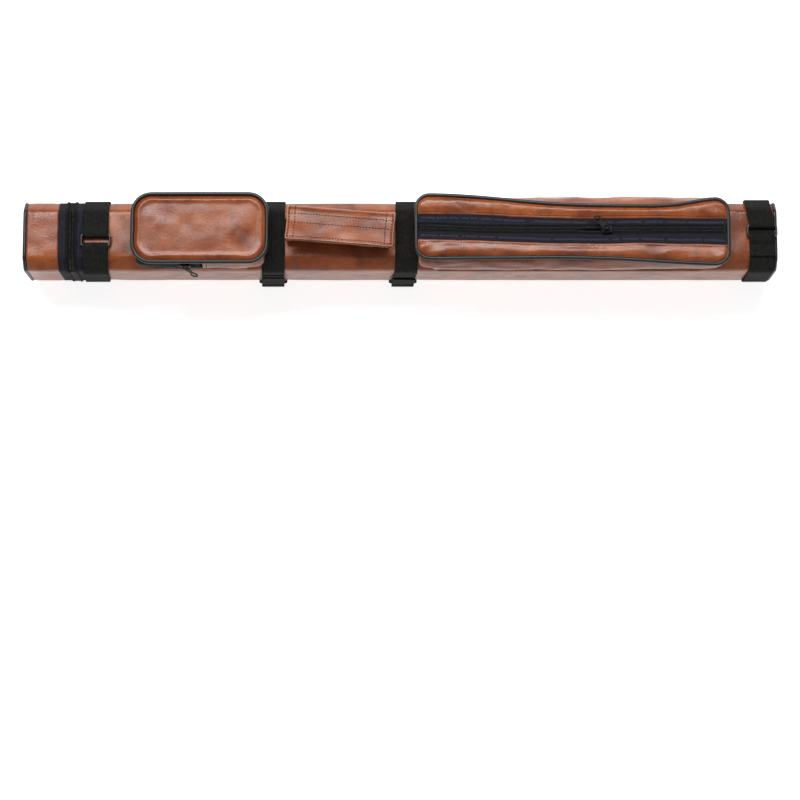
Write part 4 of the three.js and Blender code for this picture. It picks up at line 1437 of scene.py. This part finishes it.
def flap_point(u, s, half, offset):
    """On the flap: u from -1 to 1 along it, s in mm from its rear edge."""
    line = FLAP_PATH
    k = min(int(s / FLAP_STEP), len(line) - 2)
    p = line[k].lerp(line[k + 1], s / FLAP_STEP - k)
    t = (line[k + 1] - line[k]).normalized()
    n = Vector((t.y, -t.x))
    end = (s / FLAP_LENGTH) ** 2
    bow = 0.9 * end * (1 - u * u) + 0.5 * wobble((u * 40, s, 0), 16, 7.0) * end
    x = u * half + (FLAP_GROW[1] if u > 0 else FLAP_GROW[0]) * u + 0.3 * math.sin(s / 7.0) * u
    return Vector((x, p.x + n.x * (offset + bow), p.y + n.y * (offset + bow)))


FLAP_PATH = resample(smooth_line([Vector((y, z, 0)) for y, z in FLAP_LINE], 2), 1.5)
FLAP_PATH = [Vector((p.x, p.y)) for p in FLAP_PATH]
FLAP_STEP = (FLAP_PATH[1] - FLAP_PATH[0]).length
FLAP_LENGTH = FLAP_STEP * (len(FLAP_PATH) - 1)


def grip_flap(half):
    """The flap that wraps the grip: leatherette outside, hook tape inside, raw pale edges."""
    across, along = 30, 60
    verts, faces, mats = [], [], []
    layers = (1.1, -0.8)
    for offset in layers:
        for i in range(along + 1):
            for j in range(across + 1):
                u, s = -1 + 2 * i / along, FLAP_LENGTH * j / across
                verts.append(flap_point(u, s, half, offset))
    size = (along + 1) * (across + 1)
    for i in range(along):
        for j in range(across):
            a = i * (across + 1) + j
            cell = (a, a + 1, a + across + 2, a + across + 1)
            faces.append(cell)
            mats.append(0)
            faces.append(tuple(size + k for k in reversed(cell)))
            rim = i < 3 or i > along - 4 or j > across - 3 or j < 8
            mats.append(0 if rim else 2)
    rim = [i * (across + 1) for i in range(along)]
    rim += [along * (across + 1) + j for j in range(across)]
    rim += [i * (across + 1) + across for i in range(along, 0, -1)]
    rim += [j for j in range(across, 0, -1)]
    for k, a in enumerate(rim):
        b = rim[(k + 1) % len(rim)]
        faces.append((a, b, b + size, a + size))
        mats.append(1)
    made = piece("handle_flap_sheet", moved(GRIP_PLACE, verts), faces, None, None,
                 slot="leatherette", replaces=["handle_flap"],
                 materials=["leather", "leather_edge", "hook_tape"], face_mats=mats)
    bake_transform(made)
    turn = GRIP_PLACE.to_3x3()
    up = turn @ Vector((0, -0.26, 0.97))
    lines = []
    for s in (17.5, 28.5, FLAP_LENGTH - 2.2):
        line = [flap_point(-0.97 + 1.94 * k / 30, s, half, 1.0) for k in range(31)]
        lines.append((moved(GRIP_PLACE, line), [up] * 31))
    for u in (-0.965, -0.86, 0.86, 0.965):
        line = [flap_point(u, 9 + (FLAP_LENGTH - 11) * k / 20, half, 1.0) for k in range(21)]
        lines.append((moved(GRIP_PLACE, line), [up] * 21))
    places = joined(places_along(line, normals, 3.4) for line, normals in lines)
    sewn = beads("handle_flap_stitches", places, (1.2, 0.6, 0.45), "thread", None,
                 slot="leatherette")
    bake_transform(sewn)
    border = [flap_point(-1, FLAP_LENGTH * k / 30, half, 0.3) for k in range(30)]
    border += [flap_point(-1 + k / 40, FLAP_LENGTH, half, 0.3) for k in range(80)]
    border += [flap_point(1, FLAP_LENGTH * (1 - k / 30), half, 0.3) for k in range(30)]
    border += [flap_point(1 - k / 40, 0, half, 0.3) for k in range(80)]
    raw = moved(GRIP_PLACE, border)
    rough = [p + up * (wobble(p, 4, 61.0) * 0.25) for p in raw]
    rim_line = swept("handle_flap_rim", rough, [up] * len(rough), round_profile(0.62, 8),
                     "leather_edge", None, closed=True)
    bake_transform(rim_line)


# ---------------------------------------------------------------- back of the case
STRAP_W = 28.0
RING_X = (356.5, 375.0)
RING_Z = 5.05
BAR_TURN = 2.6  # radius of the strap round a ring's bar
SEWN_Z = {"shoulder": 6.3, "tab": 6.35}


def hinge_webbing():
    """The webbing on the back that runs across the lid's hinge."""
    z = UNDER - WEB_OFF
    line = resample([Vector((-411, 0, z)), Vector((-349, 0, z))], 1.5)
    made = swept("hinge_web", line, [-UP] * len(line), strap_profile(BAND, WEB), "webbing", None,
                 replaces=["hinge_webbing_lid", "hinge_webbing_body"])
    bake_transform(made)
    z -= WEB / 2
    sew_underside("hinge_lid_stitches", -409, -384, z, body="lid")
    sew_underside("hinge_body_stitches", -362, -355, z)


def half_turn(x, start, end):
    """Points of a strap round a ring's bar at x, in the xz plane, between two angles in degrees."""
    out = []
    for k in range(9):
        a = math.radians(start + (end - start) * k / 8)
        out.append(Vector((x + BAR_TURN * math.cos(a), 0, RING_Z + BAR_TURN * math.sin(a))))
    return out


def ribbon(name, points, **extra):
    """A strap that follows points in the xz plane and wanders a little sideways."""
    line = resample(points, 3.0)
    for p in line:
        free = smooth(-330, -260, p.x) * smooth(352, 290, p.x)
        p.y += wobble((p.x, 0, 0), 120, 14.0) * 1.6 * free
    normals = turn_normals(line, Vector((0, 1, 0)), UP)
    return swept(name, line, normals, strap_profile(STRAP_W, WEB), "webbing", "case", **extra)


def shoulder_strap():
    """The strap clipped flat to the back, with its tri-glide, ring and tab."""
    bar = RING_X[0] + 1.5
    start_z, tab_z = SEWN_Z["shoulder"], SEWN_Z["tab"]
    low = [(-350, start_z), (-322, start_z), (-306, 3.6), (-290, 0.8), (20, 0.8), (34, 2.0), (47, 4.1),
           (340, 4.1), (349, 2.7)]
    main = [Vector((x, 0, z)) for x, z in low] + half_turn(bar, -90, 0)
    ribbon("shoulder_webbing", main, replaces=["shoulder_strap"])
    back = half_turn(bar, 0, 90) + [Vector((x, 0, z)) for x, z in
                                         ((349, 7.5), (340, 5.95), (68, 5.95))]
    made = ribbon("shoulder_return", back)
    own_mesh(made)
    sew_underside("shoulder_sewn", -347, -328, start_z - WEB / 2, cross=True)
    rect_ring("triglide", 53, 80, -18.5, 18.5, 1.5, 4.0, "buckle", "triglide",
              ["strap_triglide"], 4.0, 3.0)
    metal_part("triglide_bar", [block((64.5, -16, 0.2), (68.5, 16, 2.8))], Matrix(), "buckle",
               "triglide", [], 0.7)
    rect_ring("strap_ring_wire", *RING_X, -18.8, 18.8, RING_Z, 3.0, "gunmetal", "case",
              ["strap_ring"], 3.5, 1.9)
    tab_bar = RING_X[1] - 1.5
    tab = [Vector((392, 0, 7.55)), Vector((384, 0, 7.65))] + half_turn(tab_bar, 90, 270)
    tab += [Vector((379, 0, 2.7)), Vector((385, 0, 5.2)), Vector((390, 0, tab_z)),
            Vector((412, 0, tab_z))]
    ribbon("strap_tab", tab, replaces=["strap_ring_tab"])
    sew_underside("strap_tab_stitches", 392, 409, tab_z - WEB / 2)


# ---------------------------------------------------------------- the rest of the object
INSIDE = {"body_shell": "board", "lid_shell": "board", "mouth_collar": "liner",
          "foam_core_mouth": "foam", "foam_core_base": "foam", "lid_pad": "liner",
          "butt_tube_upper": "liner", "butt_tube_lower": "liner",
          "shaft_tube_upper": "liner", "shaft_tube_lower": "liner"}


def paint_inside():
    """Materials for the inner parts, which are shown as the CAD has them."""
    for name, material in INSIDE.items():
        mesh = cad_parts[name].data
        mesh.materials.clear()
        mesh.materials.append(MATS[material])


def covers():
    leather_tube("body_leather", -352.4, 416.4, 2.6, "case", ["body_cover"])
    leather_tube("lid_leather", -415.4, -380.7, 1.6, "lid", ["lid_cover"], 0.3, 0.3)
    end_panel("base_panel", END - 2.0, 1, 4.2, "case", ["base_end_panel"])
    end_panel("lid_panel", 2.0 - END, -1, 4.2, "lid", ["lid_end_panel"])
    end_piping("base_piping_cord", END - 2.2, 2.2, 1.6, "case", ["base_piping"])
    end_piping("lid_piping_cord", 2.2 - END, 2.2, 1.6, "lid", ["lid_piping"])


# ---------------------------------------------------------------- floor, light, camera
CAMERA_DISTANCE = 2.8
ELEVATION = math.radians(78)
AIM_DROP = math.radians(3.65)
LENS = 111.4
AIM = Vector((0, 0, 0.05))
FLOOR_HALF, FLOOR_Z = 6000, -0.05


def area_light(name, at, size, power):
    """A soft box at a place in metres, turned to the middle of the case."""
    data = bpy.data.lights.new(name, "AREA")
    data.shape = "RECTANGLE"
    data.size, data.size_y = size
    data.energy = power
    lamp = bpy.data.objects.new(name, data)
    lamp.location = at
    lamp.rotation_euler = (AIM - Vector(at)).to_track_quat("-Z", "Y").to_euler()
    bpy.context.scene.collection.objects.link(lamp)


def studio():
    """A white floor, a soft key and fill, and the camera."""
    corners = [(x * FLOOR_HALF, y * FLOOR_HALF, FLOOR_Z)
               for x, y in ((-1, -1), (1, -1), (1, 1), (-1, 1))]
    floor = piece("floor", corners, [(0, 1, 2, 3)], "floor", None)
    world = bpy.data.worlds.new("studio")
    world.use_nodes = True
    sky = world.node_tree.nodes["Background"].inputs
    sky["Color"].default_value = (1, 1, 1, 1)
    sky["Strength"].default_value = 0.22
    bpy.context.scene.world = world
    area_light("key", (-0.2, 1.0, 1.95), (2.2, 0.6), 60)
    area_light("fill", (0.8, -1.5, 1.6), (1.8, 0.9), 4)
    camera = bpy.data.objects.new("camera", bpy.data.cameras.new("camera"))
    camera.data.lens = LENS
    camera.data.sensor_width = 36
    camera.data.clip_end = 50
    camera.location = (0, -CAMERA_DISTANCE * math.cos(ELEVATION),
                       MID_Z * MM + CAMERA_DISTANCE * math.sin(ELEVATION))
    camera.rotation_euler = (math.pi / 2 - ELEVATION - AIM_DROP, 0, 0)
    bpy.context.scene.collection.objects.link(camera)
    bpy.context.scene.camera = camera
    bpy.context.scene.view_settings.view_transform = "Standard"


covers()
lid_zip()
hinge_webbing()
end_band("lid", LID_BAND_X, -7.0, -1, 69.0, 5.0, 0.0)
end_band("base", BASE_BAND_X, 3.5, 1, 66.0, 0.0, 3.5)
cinch("front")
cinch("rear")
small_pocket()
long_pocket()
sliders()
handle()
shoulder_strap()
paint_inside()
studio()
